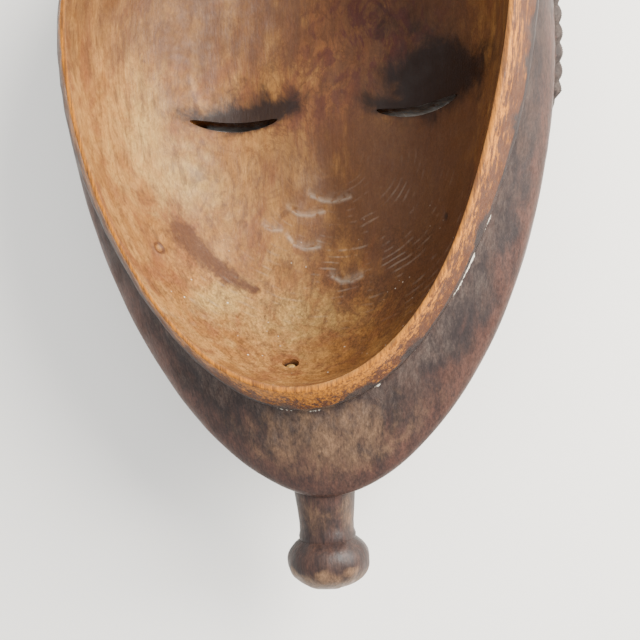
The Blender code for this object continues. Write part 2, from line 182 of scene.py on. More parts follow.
class MaskColours(bpy.types.PropertyGroup):
    """Colours of the wood."""

    tan: colour("Tan", "Raw wood of the hollow", "936836")
    ochre: colour("Ochre", "Oiled patches in the hollow", "7C5227")
    pale: colour("Pale", "Dusty patches in the hollow", "A08048")
    russet: colour("Russet", "Reddish patches in the hollow", "704426")
    mulberry: colour("Mulberry", "Purplish stains behind the brow", "43211D")
    # Umber also paints the shade on the hollow's right, deep and upper walls
    umber: colour("Umber", "Dark wood of the hollow", "4A2F1E")
    # Stain also blackens the eye slits' walls and the small hole's wall as painted shade
    stain: colour("Stain", "Old stains and soot", "1C110D")
    honey: colour("Honey", "Raw rim", "AE6A12")
    rust: colour("Rust", "Streaks on the raw rim", "4A2A18")
    patina: colour("Patina", "Dark outside of the mask", "372822")
    plum: colour("Plum", "Darker patches outside", "221A19")
    brick: colour("Brick", "Reddish bulge of the flaring edge", "50342A")
    dust: colour("Dust", "Grey dust in hollows and on the plait", "574A42")
    worn: colour("Worn", "Wood that shows where the patina has gone", "7E6045")
    black: colour("Black", "Blackened hair", "241E1C")
    # Chalk also paints the highlights on the blade's arcs and the glints of the specks
    chalk: colour("Chalk", "White bits in the crease", "C4BCAC")


class MaskStage(bpy.types.PropertyGroup):
    """Floor, light and camera."""

    floor: length("Floor", "Width of the floor", 6.0)
    floor_colour: colour("Floor colour", "Pale floor", "F6F3EC")
    window_power: FloatProperty(name="Window", description="Large soft light", default=60, subtype="POWER")
    window_size: length("Window size", "Width of the large soft light", 0.9)
    sky: FloatProperty(name="Sky", description="Strength of the even light", default=1.6, min=0)
    focal_length: FloatProperty(name="Lens", description="Focal length in millimetres", default=66.07, min=1)


def smooth_step(value):
    """0 below 0, 1 above 1, and an even slope between them."""
    value = np.clip(value, 0, 1)
    return value * value * (3 - 2 * value)


def bump(across, width, along=0.0, length=1.0):
    """A round hill, 1 at its top, that fades over width and length."""
    return np.exp(-((across / width) ** 2) - (along / length) ** 2)


def joined(first, second, blend):
    """The higher of two surfaces, with a carved fillet of the given blend where they meet."""
    share = np.clip(0.5 + 0.5 * (first - second) / blend, 0, 1)
    return second + (first - second) * share + blend * share * (1 - share)


def lens(across, half_width, along, half_height, roundness=2.0):
    """A pebble on the surface, from 1 at its top to -0.25 well outside it."""
    inside = 1 - np.abs(across / half_width) ** roundness - (along / half_height) ** 2
    return np.where(inside > 0, np.sqrt(np.maximum(inside, 0)), -0.25)


def lobe(across, half_width, along, half_height):
    """A full, rounded lobe of hair, which falls away steeply outside its edge."""
    inside = 1 - (across / half_width) ** 2 - (along / half_height) ** 2
    return np.where(inside > 0, np.maximum(inside, 0) ** 0.62, inside * 3)


def ripples(points, size, seed):
    """Soft, uneven waves from about -1 to 1, with crests about one size apart; points in millimetres."""
    chance = np.random.default_rng(seed)
    total = np.zeros(len(points))
    for _ in range(9):
        way = chance.normal(size=3)
        way *= 2 * math.pi / (size * chance.uniform(0.7, 1.5) * np.linalg.norm(way))
        total += np.sin(points @ way + chance.uniform(0, 2 * math.pi))
    return total / 3


def near_path(x, y, places, width):
    """1 on the line through some places, fading over its width."""
    nearest = np.full(x.shape, 1e9)
    for start, end in zip(places, places[1:]):
        way = np.array(end) - np.array(start)
        along = np.clip(((x - start[0]) * way[0] + (y - start[1]) * way[1]) / (way @ way), 0, 1)
        nearest = np.minimum(nearest, np.hypot(x - start[0] - way[0] * along, y - start[1] - way[1] * along))
    return np.exp(-((nearest / width) ** 2))


def patches(x, y, places):
    """The sum of some round patches."""
    return sum(most * bump(x - at_x, wide, y - at_y, high) for at_x, at_y, wide, high, most in places)


class Oval:
    """An egg-shaped outline round the widest level: half an ellipse above and a more pointed one below."""

    LEFT_AT_CROWN = 0.3

    def __init__(self, centre, half_width, above, below, point, waves):
        self.centre = centre
        self.half_width = half_width
        self.above = above
        self.below = below
        self.point = point
        self.waves = waves

    def at(self, theta):
        """The even outline."""
        cosine, sine = np.cos(theta), np.sin(theta)
        power = np.where(sine < 0, 2 / self.point, 1.0)
        height = np.where(sine < 0, self.below, self.above)
        x = self.half_width * np.sign(cosine) * np.abs(cosine) ** power
        return x, self.centre + height * np.sign(sine) * np.abs(sine) ** power

    def wander(self, theta):
        """How far the hand-cut outline strays from the even one."""
        x, y = self.at(theta)
        away = np.hypot(x, y - self.centre)
        stray = sum(size * np.sin(count * theta + math.radians(lag)) for count, size, lag in self.waves)
        stray = stray * (1 - (1 - self.LEFT_AT_CROWN) * smooth_step((np.sin(theta) - 0.05) / 0.75))
        return x / away * stray, (y - self.centre) / away * stray

    def cut(self, theta):
        """The hand-cut outline."""
        x, y = self.at(theta)
        aside, along = self.wander(theta)
        return x + aside, y + along

    def share(self, x, y):
        """0 in the middle of the widest level and 1 on the even outline."""
        below = y < self.centre
        power = np.where(below, self.point, 2.0)
        height = np.where(below, self.below, self.above)
        share = np.abs(x / self.half_width) ** power + np.abs((y - self.centre) / height) ** power
        return np.minimum(share ** (1 / power), 1.0)


class Carving:
    """The carved surface: where each point of a ball goes, and how much relief it gets.

    x is measured from the middle, y from the chin and a depth forward from the rim, all in metres.
    """

    EYE_SPREAD = 34
    FACE_BULGE = 47
    # Powers of the outlines below the widest level: 2 is an ellipse, less is more pointed
    HEAD_POINT = 1.78
    HOLLOW_POINT = 2.0
    HEAD_WAVES = ((3, 0.0012, -90),)
    HOLLOW_WAVES = ((2, 0.0024, 0), (3, 0.0038, -22))
    # Distances outward from the hollow and depths below the rim, as shares of the band and its bevel
    RIM_OFFSETS = (1.00, 1.05, 1.085, 1.095, 1.075, 1.025, 0.97, 0.62, 0.30, 0.245, 0.205, 0.06, 0.0)
    RIM_DEPTHS = (1.30, 1.23, 1.17, 1.11, 1.05, 0.995, 0.935, 0.48, 0.055, 0.014, 0.0, 0.0, 0.016)
    FLARE_RINGS = 12

    def __init__(self, scene):
        shape, relief = scene.mask_shape, scene.mask_relief
        self.shape, self.relief_sizes = shape, relief
        self.unit = shape.head_height / 272
        self.deep = shape.mask_depth / 92
        self.face_pole = 104 * self.unit
        above = shape.head_height - shape.widest_level
        self.head = Oval(
            shape.widest_level, shape.half_width, above, shape.widest_level, self.HEAD_POINT, self.HEAD_WAVES
        )
        self.mouth = Oval(
            shape.widest_level,
            shape.half_width - shape.side_margin,
            above - shape.crown_margin,
            shape.widest_level - shape.chin_margin,
            self.HOLLOW_POINT,
            self.HOLLOW_WAVES,
        )
        self.crease = relief.face_rings + self.FLARE_RINGS
        self.mouth_ring = self.crease + len(self.RIM_OFFSETS)
        self.rings = self.mouth_ring + relief.hollow_rings

    def brow_line(self, across):
        """Height of the brow's arch, in the carver's units."""
        return 148 + 17 * np.sin(math.pi * np.clip((across - 3) / 68, 0, 1)) ** 0.8

    def slit_line(self, across):
        """Height of the eye slit, a shallow smile, in the carver's units."""
        return 133.2 + 2.6 * ((across - self.EYE_SPREAD) / 17) ** 2

    def face_depth(self, x, y):
        """Depth of the carved face at x and y."""
        across, up = np.abs(x) / self.unit, y / self.unit
        out = self.head.share(x, y)
        fullness = 2.7 + 0.9 * smooth_step((up - 110) / 80)
        depth = self.shape.widest_depth / self.deep + self.FACE_BULGE * np.sqrt(1 - out**fullness)
        inland = smooth_step((1 - out) / 0.16)

        depth = depth + 14.5 * bump(across, 52, up - 188, 40) * inland
        depth = depth + 3.0 * bump(across - 46, 20, up - 98, 26)
        depth = depth + 7 * bump(across, 24, up - 56, 17)
        depth = depth + 7 * bump(across, 19, up - 20, 12) * inland
        depth = depth - 2 * bump(across, 15, up - 38, 4.5)

        below_brow = self.brow_line(across) - up
        socket = smooth_step(below_brow / 7) * np.exp(-((np.maximum(below_brow, 0) / 27) ** 2))
        depth = depth - 7.5 * socket * np.exp(-(((across - 34) / 30) ** 4))
        ridge = smooth_step((across - 5) / 8) * smooth_step((70 - across) / 22)
        depth = depth + 2.6 * bump(below_brow, 3.6) * ridge

        lid = depth - 1.6 + 9.5 * lens(across - self.EYE_SPREAD, 19, up - 137, 10.5, 1.8)
        depth = joined(lid, depth, 1.2)
        slit = np.exp(-(((across - self.EYE_SPREAD) / 17.5) ** 6))
        depth = depth - 2.2 * bump(up - self.slit_line(across), 1.9) * slit

        run = np.clip((154 - up) / 66, 0, 1)
        bridge = (4 + 17.6 * run**1.3) * smooth_step((up - 76) / 9) * smooth_step((168 - up) / 20)
        depth = depth + bridge * np.exp(-((across / (5.0 + 4.4 * run**1.5)) ** 2.6))
        wing = depth - 3 + 9 * lens(across - 9.5, 6.5, up - 87, 7.5)
        depth = joined(wing, depth, 1.5)
        tip = depth - 2.0 + 5.2 * lens(across, 8, up - 88, 8)
        depth = joined(tip, depth, 2.0)
        depth = depth - 2.2 * bump(across - 5.4, 2.2, up - 80.5, 2.4)

        upper_lip = depth - 1.0 + 5.2 * lens(across, 20, up - 57.6 - 0.9 * bump(across - 6, 5), 5.6, 1.7)
        lower_lip = depth - 1.0 + 5.4 * lens(across, 17.5, up - 48.6, 5.4, 1.9)
        depth = joined(joined(upper_lip, lower_lip, 0.4), depth, 0.7)
        depth = depth - 0.5 * bump(across, 2.0, up - 69, 6)

        depth = self.hair_depth(across, up, depth, out)
        return np.minimum(depth * self.deep, self.shape.mask_depth)

    def hairline(self, across, up):
        """Below 1 on the face and above 1 on the hair."""
        return np.hypot(across / (self.shape.half_width / self.unit - 12), (up - 136) / 86)

    def middle_lobe(self, across, up):
        return lobe(across, 27, up - 232, 27)

    def side_lobe(self, across, up):
        aside, above = across - 49, up - 204
        return lobe(aside * 0.91 + above * 0.41, 21, above * 0.91 - aside * 0.41, 33)

    def hair_depth(self, across, up, depth, out):
        """The hair: a thin cap behind the hairline, and three lobes that rise from it."""
        cap = smooth_step((self.hairline(across, up) - 1) * 34) * smooth_step((up - 128) / 5)
        capped = depth + 4.2 * cap * smooth_step((1 - out) / 0.05)
        middle = 68 + 24.8 * self.middle_lobe(across, up)
        side = 68.5 + 24.3 * self.side_lobe(across, up)
        return joined(joined(middle, side, 1.5), capped, 3.0)

    def hollow_depth(self, x, y):
        """Depth of the hollow's floor, a smooth bowl that follows the face loosely."""
        across, up = np.abs(x) / self.unit, y / self.unit
        floor = (self.shape.widest_depth + self.FACE_BULGE * self.deep - self.shape.face_wall) / self.deep
        floor = floor + 8 * bump(across, 40, up - 192, 38) + 3.5 * bump(across, 9, up - 104, 24)
        floor = floor + 3.5 * bump(across - self.EYE_SPREAD, 17, up - 141, 13)
        depth = floor * (1 - self.mouth.share(x, y) ** 3.0) ** 0.46 * self.deep
        return np.maximum(depth, self.RIM_DEPTHS[-1] * self.shape.rim_bevel)

    def between_outlines(self, theta, reach):
        """A point outside the hollow's mouth, on the way to the widest outline."""
        outer_x, outer_y = self.head.cut(theta)
        inner_x, inner_y = self.mouth.cut(theta)
        width = np.hypot(outer_x - inner_x, outer_y - inner_y)
        share = reach(width) / width
        return inner_x + (outer_x - inner_x) * share, inner_y + (outer_y - inner_y) * share

    def flare_point(self, theta, share):
        """From the widest outline, share 0, in to the crease beside the rim, share 1."""
        band = self.shape.rim_band
        turn = np.cos(share * math.pi / 2)
        reach = 0.55 * turn**2 + 0.45 * turn
        x, y = self.between_outlines(theta, lambda width: band + (width - band) * reach)
        return x, y, self.shape.widest_depth + (self.shape.crease_depth - self.shape.widest_depth) * share

    def rim_point(self, theta, place):
        """The raw edge: lip, bevelled band and the narrow flat that the mask's back ends in."""
        steps = np.arange(len(self.RIM_OFFSETS))
        offset = np.interp(place, steps, self.RIM_OFFSETS) * self.shape.rim_band
        depth = np.interp(place, steps, self.RIM_DEPTHS) * self.shape.rim_bevel
        x, y = self.between_outlines(theta, lambda width: offset)
        return x, y, depth

    def face_point(self, theta, share):
        """A point of the face, from its pole, share 0, to the widest outline, share 1."""
        spread = 1 - (1 - share) ** 1.7
        x, y = self.head.at(theta)
        x, y = x * spread, self.face_pole + (y - self.face_pole) * spread
        aside, along = self.head.wander(theta)
        return x + aside * spread**3, y + along * spread**3, self.face_depth(x, y)

    def hollow_point(self, theta, share):
        """A point of the hollow, from its mouth, share 0, to the middle of its floor, share 1."""
        spread = 1 - share**1.5
        centre = self.shape.widest_level
        x, y = self.mouth.at(theta)
        x, y = x * spread, centre + (y - centre) * spread
        aside, along = self.mouth.wander(theta)
        return x + aside * spread**2, y + along * spread**2, self.hollow_depth(x, y)

    def ring_and_turn(self, ball):
        """Where a point of the ball lies: its ring, counted from the face's pole, and its turn."""
        height = ball[:, 2] / np.linalg.norm(ball, axis=1)
        ring = np.arccos(np.clip(-height, -1, 1)) / math.pi * self.rings
        whole = np.rint(ring)
        return np.where(np.abs(ring - whole) < 0.01, whole, ring), np.arctan2(ball[:, 1], ball[:, 0])

    def carve(self, ball):
        """Places of the ball's points on the carving, as x, y and depth."""
        ring, theta = self.ring_and_turn(ball)
        face, crease, mouth = self.relief_sizes.face_rings, self.crease, self.mouth_ring
        zones = (
            (ring <= face, self.face_point(theta, np.minimum(ring / face, 1))),
            ((ring > face) & (ring <= crease), self.flare_point(theta, (ring - face) / self.FLARE_RINGS)),
            ((ring > crease) & (ring <= mouth), self.rim_point(theta, ring - crease - 1)),
            (ring > mouth, self.hollow_point(theta, np.clip((ring - mouth) / (self.rings - mouth), 0, 1))),
        )
        points = np.zeros((len(ring), 3))
        for inside, place in zones:
            here = np.stack(place, axis=1)
            points[inside] = here[inside]
        return points

    def hair_share(self, points):
        """1 on the hair, 0 on the face."""
        across, up = np.abs(points[:, 0]) / self.unit, points[:, 1] / self.unit
        cap = smooth_step((self.hairline(across, up) - 1) * 34 - 0.4) * smooth_step((up - 129) / 4)
        lobes = np.maximum(self.middle_lobe(across, up), self.side_lobe(across, up))
        return np.maximum(cap, smooth_step(lobes * 8))

    def strands(self, theta):
        """Grooves between strands of hair that run back from the face: 0 on a strand, -1 in a groove."""
        phase = theta * self.relief_sizes.segments / (2 * math.pi)
        return np.abs(np.sin(math.pi * phase)) ** 0.55 - 1

    def nubs(self, points):
        """Raised scars: a short row down the forehead and a small block beside each eye."""
        across, up = np.abs(points[:, 0]) / self.unit, points[:, 1] / self.unit
        places = [(0, 170 + 8 * row) for row in range(3)]
        places += [(64 + 7 * column, 112 + 8 * row - 2 * column) for row in range(3) for column in range(2)]
        height = np.zeros(len(points))
        for place_across, place_up in places:
            inside = 1 - ((across - place_across) / 2.7) ** 4 - ((up - place_up) / 2.9) ** 4
            height = np.maximum(height, np.maximum(inside, 0) ** 0.5)
        return height

    def relief(self, ball, points):
        """Fine relief along the surface's normal, in metres."""
        ring, theta = self.ring_and_turn(ball)
        sizes = self.relief_sizes
        spots = points * 1000
        x, y = spots[:, 0], spots[:, 1]
        flat = spots * (1, 0.55, 1)
        in_hollow = smooth_step((ring - self.mouth_ring - 1) / 5)
        on_face = (ring < sizes.face_rings).astype(float)
        hair = self.hair_share(points) * on_face * smooth_step((sizes.face_rings - ring) / 2)

        height = in_hollow * sizes.scoop * (0.62 * ripples(flat, 19, 3) + 0.22 * ripples(spots, 7.5, 4))
        away = np.hypot(x - TOOL_CENTRE[0], y - TOOL_CENTRE[1]) + 0.5 * ripples(spots, 24, 5)
        patch = smooth_step(ripples(spots, 15, 6) * 1.4 + 0.5) * smooth_step((away - 12) / 10)
        blade = np.abs(np.sin(math.pi * away / 2.6)) ** 0.6 - 0.6
        height += in_hollow * sizes.chatter * patch * blade
        for chip in PALE_CHIPS:
            height += in_hollow * 0.0004 * near_path(x, y, chip, 0.6)
            height -= in_hollow * 0.0005 * near_path(x, y - 1.1, chip, 0.9)
        knot_away = self.away_from(spots, *KNOT)
        height += in_hollow * (0.0005 * bump(knot_away - 2.6, 0.8) - 0.0007 * bump(knot_away, 1.9))
        height -= in_hollow * 0.0008 * bump(x - PIT[0], 1.2, y - PIT[1], 2.6)

        on_rim = (1 - in_hollow) * (ring > self.crease)
        rough = 0.00010 * ripples(spots, 9, 7) + 0.00005 * ripples(spots, 3.5, 8)
        height += on_rim * rough * (points[:, 2] > 4e-4)
        outside = (ring <= self.crease) * (1 - hair)
        height += outside * 0.00010 * ripples(flat, 16, 9)
        height += hair * sizes.strand * self.strands(theta)
        height += on_face * (1 - hair) * sizes.nub * self.nubs(points)
        resting = points[:, 2] > self.shape.mask_depth - 2e-4
        return np.where(resting, 0, height)

    def away_from(self, spots, x, y):
        """How far points lie from a place on the hollow's floor, in millimetres."""
        depth = self.hollow_depth(np.array([x]) / 1000, np.array([y]) / 1000)[0] * 1000
        return np.linalg.norm(spots - (x, y, depth), axis=1)

    def paint(self, ring, part, groove, points):
        """Masks from 0 to 1 that say where each finish and each painted shade lies, one value for each point."""
        faces = self.relief_sizes.face_rings
        spots = points * 1000
        x, y, depth = spots.T
        across, up = np.abs(x), points[:, 1] / self.unit
        sunk = (part == HOLE_WALL).astype(float)
        stump = sunk * groove
        head = (part == HEAD) + sunk
        on_face = head * (ring < faces)
        share = (ring - faces) / self.FLARE_RINGS
        place = ring - self.crease - 1
        waver = ripples(spots, 12, 21)
        raw = head * smooth_step((place - 5.2 + 0.4 * waver) / 1.2)
        hollow = head * smooth_step((place - 10.5) / 1.2)
        edge = smooth_step((place - 6.5 + 0.3 * ripples(spots, 7, 24)) / 1.5)
        edge = edge * (1 - 0.3 * smooth_step((x - 18) / 30)) + 0.6 * bump(x - 6, 20, y - 42, 14)
        edge = head * edge
        hair = np.maximum(self.hair_share(points) * on_face, 0.7 * (part == PLAIT))
        groove = groove * self.hair_share(points) * on_face

        low = smooth_step((130 - y) / 70)
        dust = smooth_step((share - 0.30 + 0.14 * waver) / 0.5) * (0.6 + 0.4 * low)
        dust = head * dust * (ring <= self.crease + 3)
        dust = np.maximum(dust, 0.95 * (part == PLAIT) + 0.5 * groove)
        brick = 1 - smooth_step((share - 0.25 + 0.1 * waver) / 0.55)
        brick = head * (brick + 0.6 * smooth_step((-x - 30) / 30)) * smooth_step((ring - faces + 12) / 10)
        crease = head * bump(ring - self.crease - 0.3, 1.1)
        chalk = sum(bump(x - at_x, size, y - at_y, size) for at_x, at_y, size in CHALK)
        chalk = np.maximum(chalk, 0.5 * smooth_step((x - 15) / 20)) * crease

        streak = near_path(x, y, DARK_STREAK, np.clip(4.6 - 0.10 * (x + 50), 1.8, 5))
        slit_up = y - self.slit_line(across / 1000 / self.unit) * self.unit * 1000
        # Dark blots round the eye slits, towards the crown and in the pit
        soot = 1.35 * bump(across - 34, 24, slit_up - 3, 5.5) + 0.5 * bump(x + 30, 26, y - 152, 12)
        soot = np.maximum(soot, 1.7 * bump(x - 44, 21, y - 149, 14)) + 0.55 * bump(x - 26, 26, y - 178, 15)
        soot = np.maximum(soot, 1.1 * bump(x - PIT[0], 1.3, y - PIT[1], 2.8))
        # The eye slits' walls, which take the hollow's raw wood and are blackened as painted shade
        floor = self.hollow_depth(points[:, 0], points[:, 1]) * 1000
        inner = (np.abs(slit_up) < 3.2) & (np.abs(across - 35) < 18) & (depth > floor + 0.6)
        inner = inner & (depth < self.face_depth(points[:, 0], points[:, 1]) * 1000 - 0.8)
        chips = sum(
            near_path(x, y, chip, 0.65) + 0.4 * near_path(x, y - 1.2, chip, 1.5) for chip in PALE_CHIPS
        )
        knot = bump(self.away_from(spots, *KNOT) - 2.5, 0.8)
        # Painted shade, with some brown stain: darker to the right, away from the light, and deeper in the
        # hollow, less towards the chin and at the far right, darker towards the crown and in the middle
        shade = smooth_step((x + 38 + 5 * waver) / 66) * (0.7 + 0.3 * smooth_step((depth - 10) / 25))
        shade = shade * (1 - 0.45 * smooth_step((74 - y) / 20)) + 0.35 * smooth_step((x - 20) / 30)
        shade = np.maximum(shade, 0.8 * smooth_step((y - 140 + 6 * waver) / 36))
        shade = shade + 0.45 * bump(x - 4, 30, y - 112, 26)
        shade = shade * (1 - 0.45 * smooth_step((x - 50) / 14))

        end = smooth_step(((14 - y) / 48 - 0.76 + 0.05 * ripples(spots, 8, 43)) / 0.15) * (part == BEARD)
        high = on_face * smooth_step((depth - 84) / 7) * (1 - 0.5 * self.hair_share(points))
        nubs = 0.7 * self.nubs(points) * on_face
        under_chin = 0.58 * bump(x - 6, 30, y - 20, 14) + 0.25 * smooth_step((58 - y) / 30)
        stem = 0.5 * (1 - smooth_step(((14 - y) / 48 - 0.54) / 0.08)) * (part == BEARD)
        below = head * smooth_step((share - 0.1) / 0.3) * under_chin + stem
        worn = np.maximum.reduce([high, nubs, below, 0.95 * end, 0.25 * (part == EARS)])
        masks = {
            "raw": np.maximum(raw, inner),
            "edge": edge,
            "hollow": np.maximum(hollow, inner),
            "hair": hair,
            "dust": dust,
            "brick": np.maximum(brick, 0.5 * (part == BEARD)),
            "chalk": chalk,
            "streak": np.maximum(streak, 0.9 * knot) * hollow,
            # Dark blots; the eye slits' walls and the small hole's wall, all but its stump, are blackened as
            # painted shade
            "soot": np.maximum(soot * hollow, 1.4 * inner + 1.5 * sunk * (1 - 0.8 * stump)),
            "pale": (patches(x, y, PALE_PATCHES) * (1 - sunk) + 1.3 * stump) * hollow,
            "low": smooth_step((104 - y + 8 * waver) / 40) * hollow,
            "flush": patches(x, y, PURPLE_PATCHES) * hollow,
            "chips": chips * hollow,
            "blade": patches(x, y, BLADE_PATCHES) * hollow,
            "shade": shade * hollow,
            "worn": worn,
        }
        return {name: np.clip(values, 0, 1.5) for name, values in masks.items()}


STORED = ("ring", "part", "groove")
PAINTS = (
    "raw", "edge", "hollow", "hair", "dust", "brick", "chalk", "streak", "soot", "pale", "chips", "blade",
    "shade", "low", "flush", "worn",
)


def in_world(carving, points):
    """The carving's x, y and depth as places in the scene."""
    return points * (1, 1, -1) + (CHIN.x, CHIN.y, carving.shape.mask_depth)


def on_carving(carving, places):
    """The other way round: places in the scene as x, y and depth."""
    return (places - (CHIN.x, CHIN.y, carving.shape.mask_depth)) * (1, 1, -1)


def deselect():
    if bpy.context.object and bpy.context.object.mode != "OBJECT":
        bpy.ops.object.mode_set(mode="OBJECT")
    bpy.ops.object.select_all(action="DESELECT")


def only(piece):
    deselect()
    piece.select_set(True)
    bpy.context.view_layer.objects.active = piece


def coordinates(mesh, domain="vertices", field="co"):
    elements = getattr(mesh, domain)
    flat = np.empty(len(elements) * 3)
    elements.foreach_get(field, flat)
    return flat.reshape(-1, 3)


def put_values(mesh, name, values):
    """Stores a value on each of the mesh's points."""
    layer = mesh.attributes.get(name) or mesh.attributes.new(name, "FLOAT", "POINT")
    layer.data.foreach_set("value", np.zeros(len(mesh.vertices), dtype=np.float32) + np.float32(values))


def get_values(mesh, name):
    values = np.zeros(len(mesh.vertices), dtype=np.float32)
    if name in mesh.attributes:
        mesh.attributes[name].data.foreach_get("value", values)
    return values


def nearest_points(old, new):
    """For each new place, the index of the nearest old one."""
    tree = KDTree(len(old))
    for index, place in enumerate(old):
        tree.insert(place, index)
    tree.balance()
    return np.array([tree.find(place)[1] for place in new])


def subdivide_where(piece, kind, wanted, cuts=1):
    """Splits the faces or the edges of a mesh that are wanted, in edit mode."""
    only(piece)
    bpy.ops.object.mode_set(mode="EDIT")
    bpy.ops.mesh.select_mode(type=kind)
    bpy.ops.mesh.select_all(action="DESELECT")
    mesh = bmesh.from_edit_mesh(piece.data)
    elements = mesh.faces if kind == "FACE" else mesh.edges
    elements.ensure_lookup_table()
    for index in np.flatnonzero(wanted):
        elements[index].select = True
    bmesh.update_edit_mesh(piece.data)
    bpy.ops.mesh.subdivide(number_cuts=cuts)
    bpy.ops.object.mode_set(mode="OBJECT")


def hair_edges(carving, mesh):
    """Edges that run round the head across the hair, which its strands need split."""
    ends = np.empty(len(mesh.edges) * 2, dtype=np.int32)
    mesh.edges.foreach_get("vertices", ends)
    ends = coordinates(mesh)[ends.reshape(-1, 2)]
    middles = ends.mean(axis=1)
    on_face = carving.ring_and_turn(middles)[0] < carving.relief_sizes.face_rings - 0.5
    level = np.abs(ends[:, 0, 2] - ends[:, 1, 2]) < 1e-6
    return on_face & level & (carving.hair_share(carving.carve(middles)) > 0.02)


# Middle and reach across and up, in the carver's units: eyes, nose, lips, scars on temples and forehead
FEATURES = ((34, 23, 137, 14), (0, 18, 86, 14), (0, 24, 53, 13), (67.5, 8.5, 120, 16), (0, 6, 178, 14))


def feature_faces(carving, mesh):
    """Faces of brows, eyes, nose, lips and raised scars, which need closer points."""
    centres = coordinates(mesh, "polygons", "center")
    points = carving.carve(centres)
    across, up = np.abs(points[:, 0]) / carving.unit, points[:, 1] / carving.unit
    features = (np.abs(carving.brow_line(across) - up) < 8) & (across < 76)
    for middle, wide, level, high in FEATURES:
        features |= (np.abs(across - middle) < wide) & (np.abs(up - level) < high)
    on_face = carving.ring_and_turn(centres)[0] < carving.relief_sizes.face_rings
    return on_face & features & (carving.hair_share(points) < 0.02)


def marked_faces(carving, mesh):
    """Faces of the hollow near the blade's chips, the knot, the pit and the small hole."""
    centres = coordinates(mesh, "polygons", "center")
    x, y = (carving.carve(centres)[:, :2] * 1000).T
    near = sum(near_path(x, y, chip, 3.0) for chip in PALE_CHIPS)
    for at_x, at_y in (KNOT, PIT, (HOLE[0] * 1000, HOLE[1] * 1000)):
        near = near + bump(x - at_x, 5, y - at_y, 5)
    return (carving.ring_and_turn(centres)[0] > carving.mouth_ring) & (near > 0.35)


def volume(mesh):
    """Volume of a closed mesh, in cubic metres."""
    solid = bmesh.new()
    solid.from_mesh(mesh)
    amount = solid.calc_volume()
    solid.free()
    return amount


def split_many_sided(mesh):
    """Splits faces of more than four corners into triangles."""
    solid = bmesh.new()
    solid.from_mesh(mesh)
    bmesh.ops.triangulate(solid, faces=[face for face in solid.faces if len(face.verts) > 4])
    solid.to_mesh(mesh)
    solid.free()


def cut_with(piece, other, operation):
    """Joins or cuts one mesh with another, and takes the other away.

    If that loses either, tries again. A bent, many-sided face, which an earlier cut left, can cause such a loss,
    so these faces are split first, and the other goes a hair's breadth aside. Later tries allow gaps as well.
    """
    before, most = piece.data, volume(other.data)
    way = 1 if operation == "UNION" else -1
    for attempt in range(6):
        piece.data = before.copy()
        if attempt:
            split_many_sided(piece.data)
        only(piece)
        modifier = piece.modifiers.new(operation.lower(), "BOOLEAN")
        modifier.operation = operation
        modifier.object = other
        modifier.solver = "EXACT"
        modifier.use_hole_tolerant = attempt > 1
        bpy.ops.object.modifier_apply(modifier=modifier.name)
        growth = way * (volume(piece.data) - volume(before))
        if len(piece.data.vertices) > 0.95 * len(before.vertices) and 0.1 * most < growth < most:
            break
        other.data.transform(Matrix.Translation((2e-6, 1e-6, 3e-6)))
    else:
        raise RuntimeError("A part could not be joined to the head or cut into it")
    bpy.data.objects.remove(other)
    bpy.data.meshes.remove(before)
    piece.data.name = piece.name


class MASK_OT_head(bpy.types.Operator):
    """Carves the head with its face, flaring edge, raw rim and hollow out of one ball"""

    bl_idname = "carved_mask.head"
    bl_label = "Head and hollow"

    def execute(self, context):
        carving = Carving(context.scene)
        deselect()
        bpy.ops.mesh.primitive_uv_sphere_add(
            segments=context.scene.mask_relief.segments, ring_count=carving.rings, radius=1
        )
        head = context.object
        head.name = head.data.name = "carved_mask"
        subdivide_where(head, "EDGE", hair_edges(carving, head.data), 3)
        subdivide_where(head, "FACE", feature_faces(carving, head.data))
        for _ in range(2):
            subdivide_where(head, "FACE", marked_faces(carving, head.data))
        mesh = head.data
        ball = coordinates(mesh)
        points = carving.carve(ball)
        mesh.vertices.foreach_set("co", in_world(carving, points).ravel())
        mesh.update()
        normals = coordinates(mesh, field="normal")
        places = in_world(carving, points) + normals * carving.relief(ball, points)[:, None]
        places[:, 2] = np.clip(places[:, 2], 0, carving.shape.mask_depth)
        mesh.vertices.foreach_set("co", places.ravel())
        ring, theta = carving.ring_and_turn(ball)
        put_values(mesh, "ring", ring)
        put_values(mesh, "groove", -carving.strands(theta))
        put_values(mesh, "part", HEAD)
        mesh.update()
        return {"FINISHED"}


